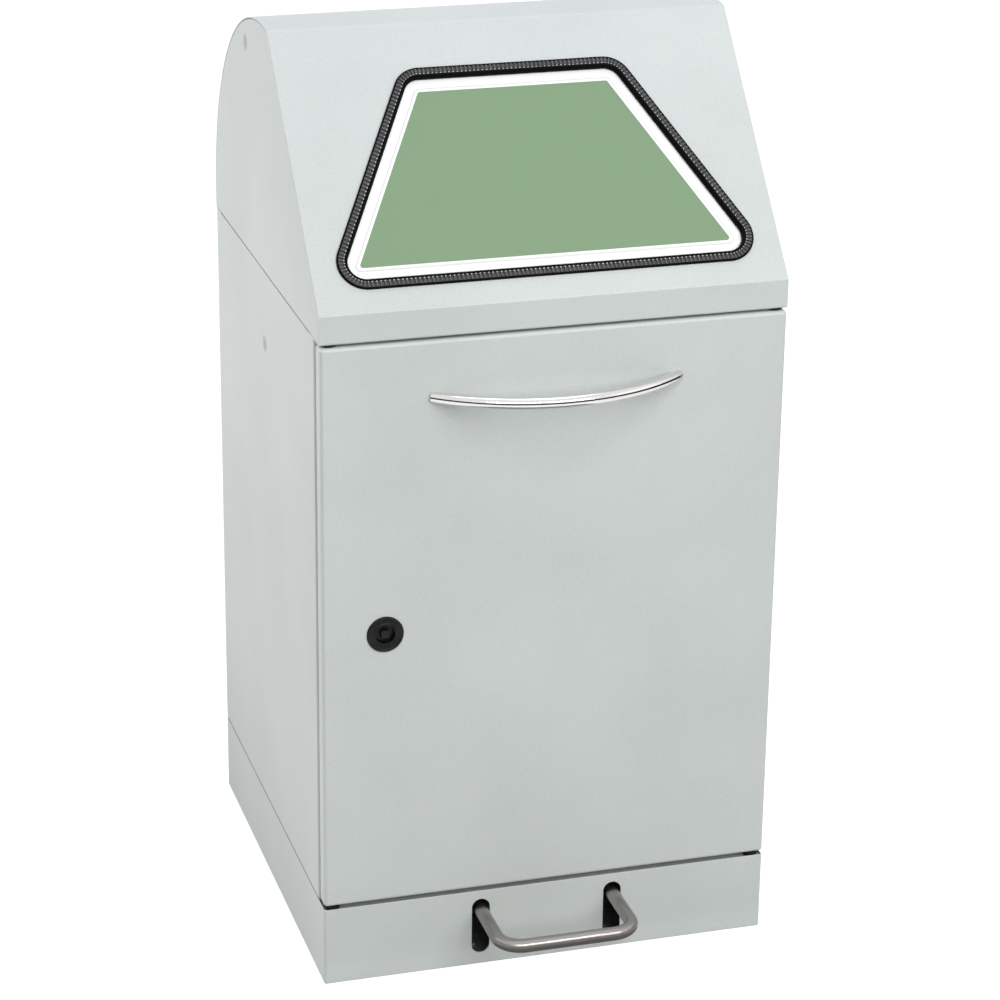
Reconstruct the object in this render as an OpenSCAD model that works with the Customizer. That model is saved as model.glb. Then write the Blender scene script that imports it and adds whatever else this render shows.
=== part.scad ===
// Free-standing recycling bin with a foot pedal, a round-backed hood and a lockable front door.
// Millimetres. X to the right, Y to the back, Z up, origin on the floor under the middle of the plinth.

/* [Cabinet] */
// Width over the sides
width = 400; // [380:5:480]
// Depth of the plinth and the body, without pedal and handle
depth = 400; // [380:5:460]
// Height of the plinth
plinth_h = 72; // [71:1:90]
// Height of the body between plinth and hood
body_h = 511; // [480:1:620]
// Thickness of the body, hood and door sheet
sheet = 1.2; // [0.8:0.1:1.5]
// Thickness of the plinth sheet
plinth_sheet = 1.5; // [1:0.1:2]
// Width of the ledge folded in at the top of the plinth
ledge = 30; // [26:1:34]
// Width of the flange folded in at the bottom of the plinth
foot_flange = 15; // [10:1:18]
// Width of that flange along the front
front_flange = 45; // [40:1:55]
// Width of the upright flange beside the door opening
stile = 15; // [13:0.5:17]
// Width of the flange folded in at the top of the body
top_flange = 12; // [10:0.5:13]
// Height of the rail across the top of the door opening
rail_h = 20; // [14:1:26]
// Height of the edges turned up round the floor panel
tray_h = 15; // [8:1:25]

/* [Hood] */
// Height of the upright front of the hood
fascia_h = 25; // [21:1:35]
// Height of the straight back of the hood below the round part
hood_wall = 17; // [10:1:24]
// How far the round part runs past its top before the slope starts
slope_start = 22; // [14:1:30]
// Depth of the flange folded back under the front of the hood
hood_front_flange = 35; // [32:1:36]
// Depth of the flange folded in under the back of the hood
hood_back_flange = 20; // [15:1:24]

/* [Opening and flap] */
// From the fold at the top of the slope to the edge trim
chute_top = 43.5; // [36:0.5:55]
// From the edge trim to the fold at the bottom of the slope
chute_bottom = 20.5; // [19:0.5:34]
// From the side of the hood to the edge trim at its widest
chute_side = 22; // [20:0.5:36]
// Straight length of the edge trim along its top
chute_flat = 160; // [140:1:176]
// Corner radius of the edge trim outside
chute_r = 24; // [21:0.5:28]
// Width of the edge trim
trim_w = 9.7; // [8.5:0.1:12]
// How far the edge trim stands out of the hood
trim_h = 2.6; // [1.5:0.1:4]
// How much of the trim's width grips the sheet
trim_grip = 6.7; // [5:0.1:7]
// Thickness of the trim's lip behind the sheet
trim_lip = 1.5; // [1:0.1:2.5]
// Gap between the closed flap and the trim's lip
flap_gap = 0.4; // [0.2:0.1:1]
// Depth of the flap's folded edge
flap_depth = 10; // [7:0.5:12]
// How much smaller than the trim the flap is all round
flap_inset = 2; // [1.6:0.1:3]
// From the trim's outer edge to the coloured field
field_inset = 20.7; // [18:0.1:26]
// White rim of the plate round the coloured field
plate_rim = 3.3; // [1:0.1:5]
// Thickness of the plate
plate_t = 0.5; // [0.3:0.1:0.8]
// Thickness of the coloured field
field_t = 0.2; // [0.1:0.1:0.5]
// Opening angle of the flap
flap_open = 50; // [40:1:52]
// Place of the flap's shaft behind the middle
shaft_y = 63; // [56:1:68]
// Depth of the flap's shaft below the hood's round back
shaft_drop = 19.64; // [18:0.04:22]
// Radius of the flap's shaft
shaft_r = 6; // [4:0.5:6.5]
// Distance of the flap's arms from the middle
arm_x = 80; // [60:1:84]
// Thickness of the flap's arms
arm_t = 2.5; // [2:0.1:4]
// How far below level the crank points when the flap is closed
crank_droop = 52; // [51:1:56]

/* [Pedal] */
// Distance of the pedal's legs from the middle
pedal_x = 60; // [45:1:80]
// Height of the pedal when it is up
pedal_z = 53; // [50:1:54]
// How far the pedal stands out of the plinth
pedal_out = 76; // [55:1:85]
// Radius of the pedal's round bar
pedal_r = 6; // [5:0.5:6.5]
// Bend radius of the pedal's bar
pedal_bend = 20; // [14:1:26]
// Width of the two slots that the pedal comes out of
slot_w = 16.2; // [14.2:0.1:20]
// Height of the slots' lower end
slot_low = 11; // [9:0.5:13]
// Height of the slots' upper end
slot_high = 64; // [61.5:0.5:66]
// How far in front of the middle the pedal's shaft lies
pedal_pivot = 20; // [10:1:30]
// Angle that the pedal moves through
pedal_travel = 10.2; // [8:0.1:10.4]
// Radius of the pedal's shaft
axle_r = 10; // [7:0.5:10.5]
// Distance from the pedal's shaft to the lifting pad
lifter_reach = 108; // [100:1:110]
// How far below level the lifting arm points when the pedal is up
lifter_droop = 12.5; // [11:0.5:14]

/* [Push rod] */
// Distance of the push rod from the side of the cabinet
rod_side = 22; // [21:0.5:24]
// Radius of the push rod
rod_r = 4; // [3:0.5:4.5]
// Height of the guide rails above the plinth
guide_rise = 436; // [420:1:450]
// Height of the guide rails' upright leg
guide_h = 20; // [14:1:28]
// Length of the return spring when the pedal is up
spring_len = 86; // [70:1:110]
// Number of turns of the return spring
spring_turns = 11; // [8:1:14]
// Middle radius of the return spring
spring_r = 6.6; // [6:0.1:7.2]
// Radius of the spring's wire
spring_wire = 0.8; // [0.5:0.1:1]

/* [Door] */
// Thickness of the door
door_t = 16; // [14:0.5:17]
// Gap between the door and the body behind it
door_gap = 3.5; // [3:0.1:5]
// How much narrower the door is than the cabinet on each side
door_side = 1.5; // [0.5:0.1:3]
// Gap between the plinth and the door
door_low = 5; // [4:0.5:8]
// Gap between the door and the hood
door_high = 3.5; // [2.5:0.5:6]
// Width of the flange round the door's back
door_flange = 12; // [9:0.5:13]
// Distance of the hinge pins from the cabinet's side
hinge_side = 9; // [8.5:0.5:10]
// Distance of the hinge pins from the cabinet's front
hinge_front = 8; // [7.5:0.5:8.5]
// Radius of the hinge pins
hinge_r = 4; // [2.5:0.5:4]
// Distance between the handle's ends
handle_w = 205; // [160:5:280]
// How far the handle bows out
handle_bow = 38; // [28:1:45]
// Radius of the handle's bar
handle_r = 5; // [4:0.5:7]
// Height of the handle below the door's upper edge
handle_drop = 47.5; // [30:0.5:90]
// Distance of the lock from the cabinet's side
lock_side = 54; // [44:1:70]
// Height of the lock above the plinth
lock_rise = 254; // [200:1:320]
// Radius of the lock's cover ring
lock_r = 16; // [13:0.5:18]
// Radius of the lock's barrel
barrel_r = 8; // [6:0.5:9]

/* [Liner] */
// Gap between the liner and the cabinet's side
liner_side = 44; // [43:1:60]
// Gap between the liner and the cabinet's front
liner_front = 35; // [33:1:50]
// Gap between the liner and the cabinet's back
liner_back = 20; // [12:1:40]
// Height of the liner
liner_h = 396.8; // [340:0.1:400]
// Thickness of the liner's sheet
liner_sheet = 0.8; // [0.6:0.1:1]
// Corner radius of the liner
liner_corner = 25; // [15:1:40]
// Radius of the liner's rolled rim
rim_r = 2.5; // [1.5:0.1:3]
// Distance from the liner's rim down to the bail's pivot
bail_drop = 18; // [14:1:26]
// Distance from the bail's pivot to its grip
bail_reach = 155; // [120:1:162]
// Radius of the bail's wire
bail_r = 2.5; // [2:0.1:3]

/* [Hidden] */
$fn = 96;

// Clearances: a running fit, a fixed fit, and the gap left between pieces that only meet
run_fit = 0.05;
fixed_fit = 0.05;
touch = 0.3;
cut = 1;

// How far a straight side starts inside the round end that it runs out of
tuck = 0.03;

// The cabinet's planes and levels
half_w = width / 2;
half_d = depth / 2;
front_y = -half_d;
back_y = half_d;
body_top = plinth_h + body_h;
body_front = front_y + door_t + door_gap;
floor_top = plinth_h + sheet;
ledge_low = plinth_h - plinth_sheet;

// The hood's outline: a round back of radius half_d, a straight slope and an upright front
fascia_top = body_top + fascia_h;
dome_z = body_top + hood_wall;
kink_y = -slope_start;
kink_z = dome_z + sqrt(half_d * half_d - kink_y * kink_y);
slope_angle = atan2(kink_z - fascia_top, kink_y - front_y);
slope_len = norm([kink_y - front_y, kink_z - fascia_top]);

// The opening: corner centres of the rounded trapezoid, in the slope's own plane
chute_low = [half_w - chute_side - chute_r, chute_bottom + chute_r - slope_len];
chute_high = [chute_flat / 2, -chute_top - chute_r];
chute_dir = (chute_high - chute_low) / norm(chute_high - chute_low);
chute_normal = [chute_dir.y, -chute_dir.x];
recess = sheet + trim_lip + flap_gap;

// The flap's shaft, seen from the world and from the slope's own plane
shaft_z = dome_z + sqrt(pow(half_d - shaft_drop, 2) - shaft_y * shaft_y);
shaft_rel = [shaft_y - kink_y, shaft_z - kink_z];
shaft_up = shaft_rel.x * cos(slope_angle) + shaft_rel.y * sin(slope_angle);
shaft_out = shaft_rel.y * cos(slope_angle) - shaft_rel.x * sin(slope_angle);
bearing_r = 13;
bearing_w = 14;
bearing_x = half_w - sheet - bearing_w;
shaft_end = half_w - 10;
trim_seat = 1.5;
clip_t = 1.5;
clip_rim = 3;
clip_x = bearing_x - touch - clip_t;

// The flap's arms: from the shaft to a foot along the back of the flap
arm_foot_gap = 22;
arm_foot_rise = 27;
arm_foot_high = -chute_top - arm_foot_gap;
arm_foot_low = chute_low.y + arm_foot_rise;
arm_foot_rim = 18;
stud_inset = 20;
stud_aside = 0.5;
arm_foot_w = 16;
arm_hub_r = 13;
arm_face = -recess - sheet;
nut_r = 4.6;
nut_t = 4;
stud_r = 2.4;

// The pedal lifts the rod, and the rod turns the crank
pedal_y = -pedal_pivot;
rod_lift = lifter_reach * (sin(lifter_droop) - sin(lifter_droop - pedal_travel));
rod_x = half_w - rod_side;
rod_y = pedal_y + lifter_reach * cos(lifter_droop - pedal_travel / 2);
crank_len = rod_lift / (sin(crank_droop) - sin(crank_droop - flap_open));
crank_lag = rod_lift / 2 - crank_len * (sin(crank_droop) - sin(crank_droop - flap_open / 2));
crank_t = 5;
crank_x = rod_x - 10;
crank_hub_r = 12;
crank_end_r = 6.5;
crank_pin_r = 3;
crank_head_r = 4.5;
crank_head_t = 2;
pin_y = shaft_y + crank_len * cos(crank_droop);
pin_z = shaft_z - crank_len * sin(crank_droop);
pin_far_y = shaft_y + crank_len * cos(crank_droop - flap_open);

// The fork on the rod: a level slot that the crank's pin slides in
fork_t = 4;
fork_web = 3;
fork_slot_r = crank_pin_r + crank_lag / 2 + 0.25;
fork_z = pin_z - crank_lag / 2;
fork_stem_w = 12;
fork_boss_r = rod_r + 3;
fork_boss_h = 20;
fork_boss_z = fork_z - 40;
pin_end_x = rod_x + fork_t / 2 + touch;

// The pedal's lever in the plinth
hub_w = 26;
hub_h = 28;
hub_front = 26;
hub_screw_r = 2.9;
axle_end = half_w - 8;
bracket_t = 3;
bracket_lap = 4;
bracket_x = half_w - 13;
bracket_w = 40;
bracket_drop = 18;
bush_r = axle_r + 2;
bush_flange_r = axle_r + 5;
bush_flange_t = 2;
lifter_t = 5;
lifter_x = rod_x - 10;
lifter_hub_r = axle_r + 4;
lifter_end_r = 7;
pad_r = 10;
pad_w = 8;
pad_pin_r = 3;
pin_head_t = 1.5;
pin_rim = 2;
pad_y = pedal_y + lifter_reach * cos(lifter_droop);
pad_z = pedal_z - lifter_reach * sin(lifter_droop);

// The push rod, from its foot on the lifting pad to the fork
foot_r = 9;
foot_t = 5;
foot_z = pad_z + pad_r + touch;
guide_r = rod_r + 3;
guide_flange_r = rod_r + 5;
guide_flange_t = 2;
guide_len = 8;
guide_sheet = 1.5;
guide_z = plinth_h + guide_rise;
guide_reach = 10;
guide_lug = 16;
rail_lip = 16;
guide_inset = 12;
spring_top = guide_z - guide_flange_t;
collar_top = spring_top - spring_len;
collar_h = 10;
collar_r = rod_r + 5;
collar_screw_r = 2;

// Buffers that stop the pedal at the bottom of its travel
stop_t = 2;
stop_w = 180;
stop_back = 60;
stop_rivet_y = front_y + 30;
stop_rivet_r = 2;
stop_rivet_head = 4;
buffer_r = 7;
buffer_y = front_y + 50;
buffer_low = plinth_sheet + stop_t;
buffer_run = pedal_y - buffer_y + buffer_r;
buffer_top = pedal_z - buffer_run * tan(pedal_travel) - pedal_r / cos(pedal_travel) - touch;

// The door and its pins
door_half = half_w - door_side;
door_back = front_y + door_t;
door_z = plinth_h + door_low;
door_top = body_top - door_high;
hinge_x = half_w - hinge_side;
hinge_y = front_y + hinge_front;
hinge_bush_r = hinge_r + 1.5;
hinge_flange_r = hinge_r + 3;
pin_collar_r = hinge_r + 2.5;
pin_collar_t = 3;
pin_inside = 20;
pin_below = 4;
pin_above = 2;
handle_z = door_top - handle_drop;
handle_radius = (handle_w * handle_w / 4 + handle_bow * handle_bow) / (2 * handle_bow);
handle_screw_x = handle_w / 2 - 4;
handle_bore = 6;
handle_grip = 5;
bore_fit = 0.1;
thread_fit = 0.15;
stiffener_w = 40;
stiffener_foot = 15;
buffer_x = half_w - stile / 2;
door_buffer_r = 5;
door_buffer_inset = 30;
door_buffer_t = door_gap - touch;

// The quarter-turn lock
lock_x = -half_w + lock_side;
lock_z = plinth_h + lock_rise;
lock_cover_t = 3;
lock_body_r = barrel_r + 2;
lock_set = 2;
lock_nut_t = 4.5;
lock_nut_r = lock_body_r + 5;
barrel_flange_t = 1.5;
key_size = 7;
key_depth = 5.5;
cam_gap = 1.6;
cam_t = 2.5;
cam_hub_r = 10;
cam_square = 8;
cam_screw_head_r = 6.5;
cam_y = body_front + sheet + cam_gap;
cam_len = lock_side - stile + 6;

// The liner and its bail
liner_x = half_w - liner_side;
liner_y0 = front_y + liner_front;
liner_y1 = back_y - liner_back;
liner_top = floor_top + liner_h;
liner_mid = (liner_y0 + liner_y1) / 2;
bail_z = liner_top - bail_drop;
bail_bend = 20;
ear_t = 2.5;
ear_w = 24;
ear_h = 24;
ear_rivet_out = 8;
ear_rivet_drop = 8;
ear_rivet_r = 1.5;
ear_rivet_head_r = 2.8;
ear_rivet_head_t = 1;
rim_x = liner_x + 0.5;
bail_x = liner_x + rim_r + bail_r + 2.3;
bail_cross = bail_reach - bail_bend + sqrt(pow(bail_bend, 2) - pow(bail_bend + rim_x - bail_x, 2));
bail_rest = asin((bail_drop + bail_r + 1.5 * touch) / bail_cross);

// Screws and rivets
screw_r = 2.5;
screw_head_r = 4.5;
screw_head_t = 3;
screw_len = 9;
screw_ys = [body_front + 15, back_y - 18];
screw_x = half_w - 18;
hood_screw_x = half_w - 50;
hood_screw_ys = [body_front + 7.5, back_y - sheet - top_flange / 2 - 1.5];
rivet_head_r = 3.5;
rivet_r = 2;
rivet_len = 4.5;
rail_rivet_y = 3;
rail_rivet_z = guide_z + guide_h / 2;

body_colour = [0.78, 0.80, 0.79];
zinc_colour = [0.66, 0.68, 0.70];
steel_colour = [0.62, 0.61, 0.59];
black_colour = [0.08, 0.08, 0.09];
white_colour = [0.95, 0.95, 0.95];
nylon_colour = [0.88, 0.87, 0.83];

// A box from its lowest to its highest corner
module box(low, high) {
    translate(low)
        cube(high - low);
}

// A round bar along X, Y or Z from its start point
module bar_x(from, length, r) {
    translate(from)
        rotate([0, 90, 0])
            cylinder(h = length, r = r);
}

module bar_y(from, length, r) {
    translate(from)
        rotate([-90, 0, 0])
            cylinder(h = length, r = r);
}

module bar_z(from, length, r) {
    translate(from)
        cylinder(h = length, r = r);
}

// The same thing on both sides of the middle
module both_sides() {
    children();
    mirror([1, 0, 0])
        children();
}

// An outline drawn in Y and Z, made thick along X
module side_plate(x0, thickness) {
    translate([x0, 0, 0])
        rotate([90, 0, 90])
            linear_extrude(thickness)
                children();
}

// The slope's own plane: X across, Y up the slope from the upper fold, Z out of the hood
module on_slope() {
    translate([0, kink_y, kink_z])
        rotate([slope_angle, 0, 0])
            children();
}

// The hood's side outline, moved inwards by the inset
module hood_outline(inset) {
    intersection() {
        union() {
            translate([0, dome_z])
                circle(r = half_d - inset, $fn = 180);
            translate([0, body_top])
                square([half_d - inset, hood_wall]);
            translate([front_y + inset, body_top])
                square([half_d - inset, fascia_h]);
        }
        translate([kink_y, kink_z])
            rotate(slope_angle)
                translate([-2 * depth, -2 * depth - inset])
                    square([4 * depth, 2 * depth]);
        translate([front_y, body_top])
            square([depth, depth]);
    }
}

// The trim's rounded trapezoid, moved inwards by the inset
module chute_outline(inset) {
    r = chute_r - inset - tuck;
    right = [
        chute_low + [0, -r],
        chute_low + r * chute_normal,
        chute_high + r * chute_normal,
        chute_high + [0, r]
    ];
    polygon(concat(right, [for (i = [3 : -1 : 0]) [-right[i].x, right[i].y]]));
    for (corner = [chute_low, chute_high], side = [-1, 1])
        translate([side * corner.x, corner.y])
            circle(r = r + tuck);
}

// The same trapezoid with sharp corners
module field_outline(inset) {
    r = chute_r - inset;
    low = chute_low + r * ([0, -1] + chute_normal) / (1 - chute_normal.y);
    high = chute_high + r * ([0, 1] + chute_normal) / (1 + chute_normal.y);
    polygon([low, high, [-high.x, high.y], [-low.x, low.y]]);
}

// A ring of the trapezoid between two insets and two depths
module chute_ring(outer, inner, low, high) {
    translate([0, 0, low])
        linear_extrude(high - low)
            difference() {
                chute_outline(outer);
                chute_outline(inner);
            }
}

// A link drawn in Y and Z between two round ends
module link_outline(a, ra, b, rb) {
    reach = norm(b - a);
    along = (b - a) / reach;
    across = [-along.y, along.x];
    lean = (ra - rb) / reach;
    left = lean * along + sqrt(1 - lean * lean) * across;
    right = lean * along - sqrt(1 - lean * lean) * across;
    translate(a)
        circle(r = ra);
    translate(b)
        circle(r = rb);
    polygon([
        a + (ra - tuck) * right, b + (rb - tuck) * right,
        b + (rb - tuck) * left, a + (ra - tuck) * left
    ]);
}

// The liner's outline, moved outwards by the growth
module liner_outline(growth) {
    r = liner_corner + growth;
    x = liner_x - liner_corner;
    y0 = liner_y0 + liner_corner;
    y1 = liner_y1 - liner_corner;
    translate([-x - r, y0])
        square([2 * x + 2 * r, y1 - y0]);
    translate([-x, y0 - r])
        square([2 * x, y1 - y0 + 2 * r]);
    for (sx = [-x, x], sy = [y0, y1])
        translate([sx, sy])
            circle(r = r);
}

// Where the screws, the pins, the push rod and the pedal pass through the sheets
module floor_screw_places() {
    for (x = [-screw_x, screw_x], y = screw_ys)
        translate([x, y, floor_top])
            children();
}

module hood_screw_places() {
    for (x = [-hood_screw_x, hood_screw_x], y = hood_screw_ys)
        translate([x, y, body_top + sheet])
            children();
}

module hinge_places(z) {
    for (x = [-hinge_x, hinge_x])
        translate([x, hinge_y, z])
            children();
}

module screw() {
    cylinder(h = screw_head_t, r = screw_head_r);
    translate([0, 0, -screw_len])
        cylinder(h = screw_len + cut, r = screw_r);
}

module screw_hole() {
    translate([0, 0, -screw_len])
        cylinder(h = 2 * screw_len, r = screw_r + fixed_fit);
}

module guide_hole() {
    bar_z([rod_x, rod_y, -cut], body_top, guide_r + fixed_fit);
}

// Plinth: a folded sheet box, open below, with a ledge at the top and a flange at the bottom
module plinth_frame() {
    inner_x = half_w - plinth_sheet;
    inner_y = half_d - plinth_sheet;
    color(body_colour)
        difference() {
            box([-half_w, front_y, 0], [half_w, back_y, plinth_h]);
            box([-inner_x, -inner_y, plinth_sheet], [inner_x, inner_y, ledge_low]);
            box(
                [ledge - half_w, front_y + ledge, ledge_low - cut],
                [half_w - ledge, back_y - ledge, plinth_h + cut]
            );
            box(
                [foot_flange - half_w, front_y + front_flange, -cut],
                [half_w - foot_flange, back_y - foot_flange, plinth_sheet + cut]
            );
            for (x = [-pedal_x, pedal_x]) {
                box(
                    [x - slot_w / 2, front_y - cut, slot_low + slot_w / 2],
                    [x + slot_w / 2, front_y + plinth_sheet + cut, slot_high - slot_w / 2]
                );
                for (z = [slot_low + slot_w / 2, slot_high - slot_w / 2])
                    bar_y([x, front_y - cut, z], plinth_sheet + 2 * cut, slot_w / 2);
                bar_z([x, stop_rivet_y, -cut], plinth_sheet + 2 * cut, stop_rivet_r + fixed_fit);
            }
            hinge_places(ledge_low - cut)
                cylinder(h = plinth_sheet + 2 * cut, r = hinge_bush_r + fixed_fit);
            floor_screw_places()
                screw_hole();
            guide_hole();
        }
}

// Steel strip on the front flange that carries the pedal's buffers
module stop_plate() {
    color(zinc_colour)
        difference() {
            box(
                [-stop_w / 2, front_y + plinth_sheet + fixed_fit, plinth_sheet],
                [stop_w / 2, front_y + stop_back, plinth_sheet + stop_t]
            );
            for (x = [-pedal_x, pedal_x])
                bar_z([x, stop_rivet_y, 0], plinth_sheet + stop_t + cut, stop_rivet_r + fixed_fit);
        }
}

// Round-headed rivets that hold the strip
module stop_rivets() {
    color("silver")
        for (x = [-pedal_x, pedal_x]) {
            bar_z([x, stop_rivet_y, touch], plinth_sheet + stop_t, stop_rivet_r);
            bar_z([x, stop_rivet_y, plinth_sheet + stop_t], 2, stop_rivet_head);
        }
}

// Rubber buffers under the pedal's legs
module pedal_buffers() {
    color(black_colour)
        for (x = [-pedal_x, pedal_x])
            bar_z([x, buffer_y, buffer_low], buffer_top - buffer_low, buffer_r);
}

// Angle brackets under the ledge that carry the pedal's shaft
module bearing_brackets() {
    color(zinc_colour)
        both_sides()
            difference() {
                union() {
                    box(
                        [bracket_x, pedal_y - bracket_w / 2, pedal_z - bracket_drop],
                        [bracket_x + bracket_t, pedal_y + bracket_w / 2, ledge_low]
                    );
                    box(
                        [half_w - ledge + bracket_lap, pedal_y - bracket_w / 2, ledge_low - bracket_t / 2],
                        [bracket_x + bracket_t, pedal_y + bracket_w / 2, ledge_low]
                    );
                }
                bar_x([bracket_x - cut, pedal_y, pedal_z], bracket_t + 2 * cut, bush_r + fixed_fit);
            }
}

// Flanged nylon bushes in the brackets
module pedal_bushes() {
    color(nylon_colour)
        both_sides()
            difference() {
                union() {
                    bar_x([bracket_x - bush_flange_t, pedal_y, pedal_z], bush_flange_t, bush_flange_r);
                    bar_x([bracket_x - bush_flange_t, pedal_y, pedal_z], bush_flange_t + bracket_t, bush_r);
                }
                bar_x([bracket_x - bush_flange_t - cut, pedal_y, pedal_z], 10, axle_r + run_fit);
            }
}

// Black bushes for the door's pins, on both sides so that the door can be hung left or right
module hinge_bushes() {
    flange_low = door_low - 2;
    flange_high = door_high - 2;
    color(black_colour) {
        hinge_places(plinth_h)
            difference() {
                union() {
                    cylinder(h = flange_low, r = hinge_flange_r);
                    translate([0, 0, -2 * plinth_sheet])
                        cylinder(h = 2 * plinth_sheet + cut, r = hinge_bush_r);
                }
                translate([0, 0, -10])
                    cylinder(h = 20, r = hinge_r + run_fit);
            }
        hinge_places(body_top)
            difference() {
                union() {
                    translate([0, 0, -flange_high])
                        cylinder(h = flange_high, r = hinge_flange_r);
                    translate([0, 0, -flange_high])
                        cylinder(h = flange_high + 2 * sheet, r = hinge_bush_r);
                }
                translate([0, 0, -10])
                    cylinder(h = 20, r = hinge_r + run_fit);
            }
    }
}

// Floor of the cabinet: a tray on the plinth's ledge
module floor_panel() {
    x = half_w - sheet - fixed_fit;
    y0 = body_front + sheet + fixed_fit;
    y1 = back_y - sheet - fixed_fit;
    color(body_colour)
        difference() {
            box([-x, y0, plinth_h], [x, y1, plinth_h + tray_h]);
            box([-x + sheet, y0 - cut, floor_top], [x - sheet, y1 - sheet, plinth_h + tray_h + cut]);
            floor_screw_places()
                screw_hole();
            guide_hole();
        }
}

// Body: sides and back from one sheet, with flanges round the door opening and at the top
module cabinet_shell() {
    x = half_w - sheet;
    color(body_colour)
        difference() {
            box([-half_w, body_front, plinth_h], [half_w, back_y, body_top]);
            box([-x, body_front + sheet, plinth_h - cut], [x, back_y - sheet, body_top - sheet]);
            box(
                [top_flange - x, body_front + sheet, body_top - 2 * sheet],
                [x - top_flange, back_y - sheet - top_flange, body_top + cut]
            );
            box(
                [stile - half_w, body_front - cut, plinth_h - cut],
                [half_w - stile, body_front + 2 * sheet, body_top + cut]
            );
            hood_screw_places()
                screw_hole();
            both_sides()
                bar_x([x - cut, rail_rivet_y, rail_rivet_z], 2 * sheet + cut, rivet_head_r + fixed_fit);
        }
}

// Angle across the top of the door opening
module front_rail() {
    x = half_w - stile - fixed_fit;
    color(body_colour)
        difference() {
            box([-x, body_front, body_top - rail_h], [x, body_front + rail_lip, body_top]);
            box(
                [-x - cut, body_front + sheet, body_top - rail_h - cut],
                [x + cut, body_front + rail_lip + cut, body_top - sheet]
            );
            hood_screw_places()
                screw_hole();
        }
}

// Angle rails along both side walls; the right one has a lug for the push rod's upper guide
module guide_rails() {
    x = half_w - sheet;
    y0 = body_front + guide_inset;
    y1 = back_y - guide_inset;
    color(zinc_colour)
        difference() {
            union() {
                both_sides() {
                    box([x - guide_sheet, y0, guide_z], [x, y1, guide_z + guide_h]);
                    box([x - top_flange, y0, guide_z], [x, y1, guide_z + guide_sheet]);
                }
                box(
                    [rod_x - guide_reach, rod_y - guide_lug, guide_z],
                    [x - cut, rod_y + guide_lug, guide_z + guide_sheet]
                );
            }
            guide_hole();
            both_sides()
                bar_x(
                    [x - 2 * guide_sheet, rail_rivet_y, rail_rivet_z],
                    4 * guide_sheet,
                    rivet_r + fixed_fit
                );
        }
}

// One nylon guide of the push rod, its flange below
module rod_guide() {
    difference() {
        union() {
            translate([0, 0, -guide_flange_t])
                cylinder(h = guide_flange_t, r = guide_flange_r);
            translate([0, 0, -guide_flange_t])
                cylinder(h = guide_flange_t + guide_len, r = guide_r);
        }
        translate([0, 0, -guide_len])
            cylinder(h = 3 * guide_len, r = rod_r + run_fit);
    }
}

module rod_guides() {
    color(nylon_colour) {
        translate([rod_x, rod_y, guide_z])
            rod_guide();
        translate([rod_x, rod_y, floor_top])
            mirror([0, 0, 1])
                rod_guide();
    }
}

// Screws that join floor and plinth, and hood and body
module cabinet_screws() {
    color("silver") {
        floor_screw_places()
            screw();
        hood_screw_places()
            screw();
    }
}

// Flush rivets through the side walls that hold the guide rails and the shaft's bearings
module side_rivets() {
    color(body_colour)
        both_sides()
            for (place = [[rail_rivet_y, rail_rivet_z], [shaft_y, shaft_z]]) {
                bar_x([half_w - sheet, place.x, place.y], sheet, rivet_head_r);
                bar_x([half_w - sheet - rivet_len, place.x, place.y], rivet_len + sheet / 2, rivet_r);
            }
}

// Hood: back, round top, slope, upright front and the flanges below from one bent sheet
module hood_shell() {
    color(body_colour)
        difference() {
            union() {
                side_plate(-half_w, width)
                    difference() {
                        hood_outline(0);
                        hood_outline(sheet);
                    }
                box(
                    [sheet - half_w, front_y + sheet / 2, body_top],
                    [half_w - sheet, front_y + hood_front_flange, body_top + sheet]
                );
                box(
                    [sheet - half_w, back_y - hood_back_flange, body_top],
                    [half_w - sheet, back_y - sheet / 2, body_top + sheet]
                );
            }
            on_slope()
                translate([0, 0, -2 * sheet])
                    linear_extrude(4 * sheet)
                        chute_outline(trim_grip);
            hinge_places(body_top - cut)
                cylinder(h = sheet + 2 * cut, r = hinge_bush_r + fixed_fit);
            hood_screw_places()
                screw_hole();
        }
}

// Side of the hood: a plate inside the bent sheet, with a flange folded in at the bottom
module hood_side() {
    x = half_w - sheet;
    color(body_colour)
        difference() {
            union() {
                side_plate(x, sheet)
                    hood_outline(sheet + fixed_fit);
                box(
                    [x - top_flange, front_y + hood_front_flange + fixed_fit, body_top],
                    [x + sheet / 2, back_y - hood_back_flange - fixed_fit, body_top + sheet]
                );
            }
            bar_x([x - cut, shaft_y, shaft_z], 2 * sheet + cut, rivet_head_r + fixed_fit);
        }
}

module hood_side_right() {
    hood_side();
}

module hood_side_left() {
    mirror([1, 0, 0])
        hood_side();
}

// Bearings of the flap's shaft inside the hood's sides
module shaft_bearings() {
    bore = shaft_end - bearing_x + 2;
    color(nylon_colour)
        both_sides()
            difference() {
                bar_x([bearing_x, shaft_y, shaft_z], bearing_w, bearing_r);
                bar_x([bearing_x - cut, shaft_y, shaft_z], bore + cut, shaft_r + run_fit);
                bar_x([bearing_x, shaft_y, shaft_z], bearing_w + cut, rivet_r + fixed_fit);
            }
}

// Rubber edge trim round the opening: a bead outside, a web through it and a lip inside
module opening_trim() {
    grip = trim_grip + fixed_fit;
    color(black_colour)
        on_slope() {
            chute_ring(0, trim_w, 0, trim_h);
            chute_ring(grip, trim_w, -sheet - trim_lip, trim_h / 2);
            chute_ring(trim_seat, trim_w, -sheet - trim_lip, -sheet);
        }
}

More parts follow.
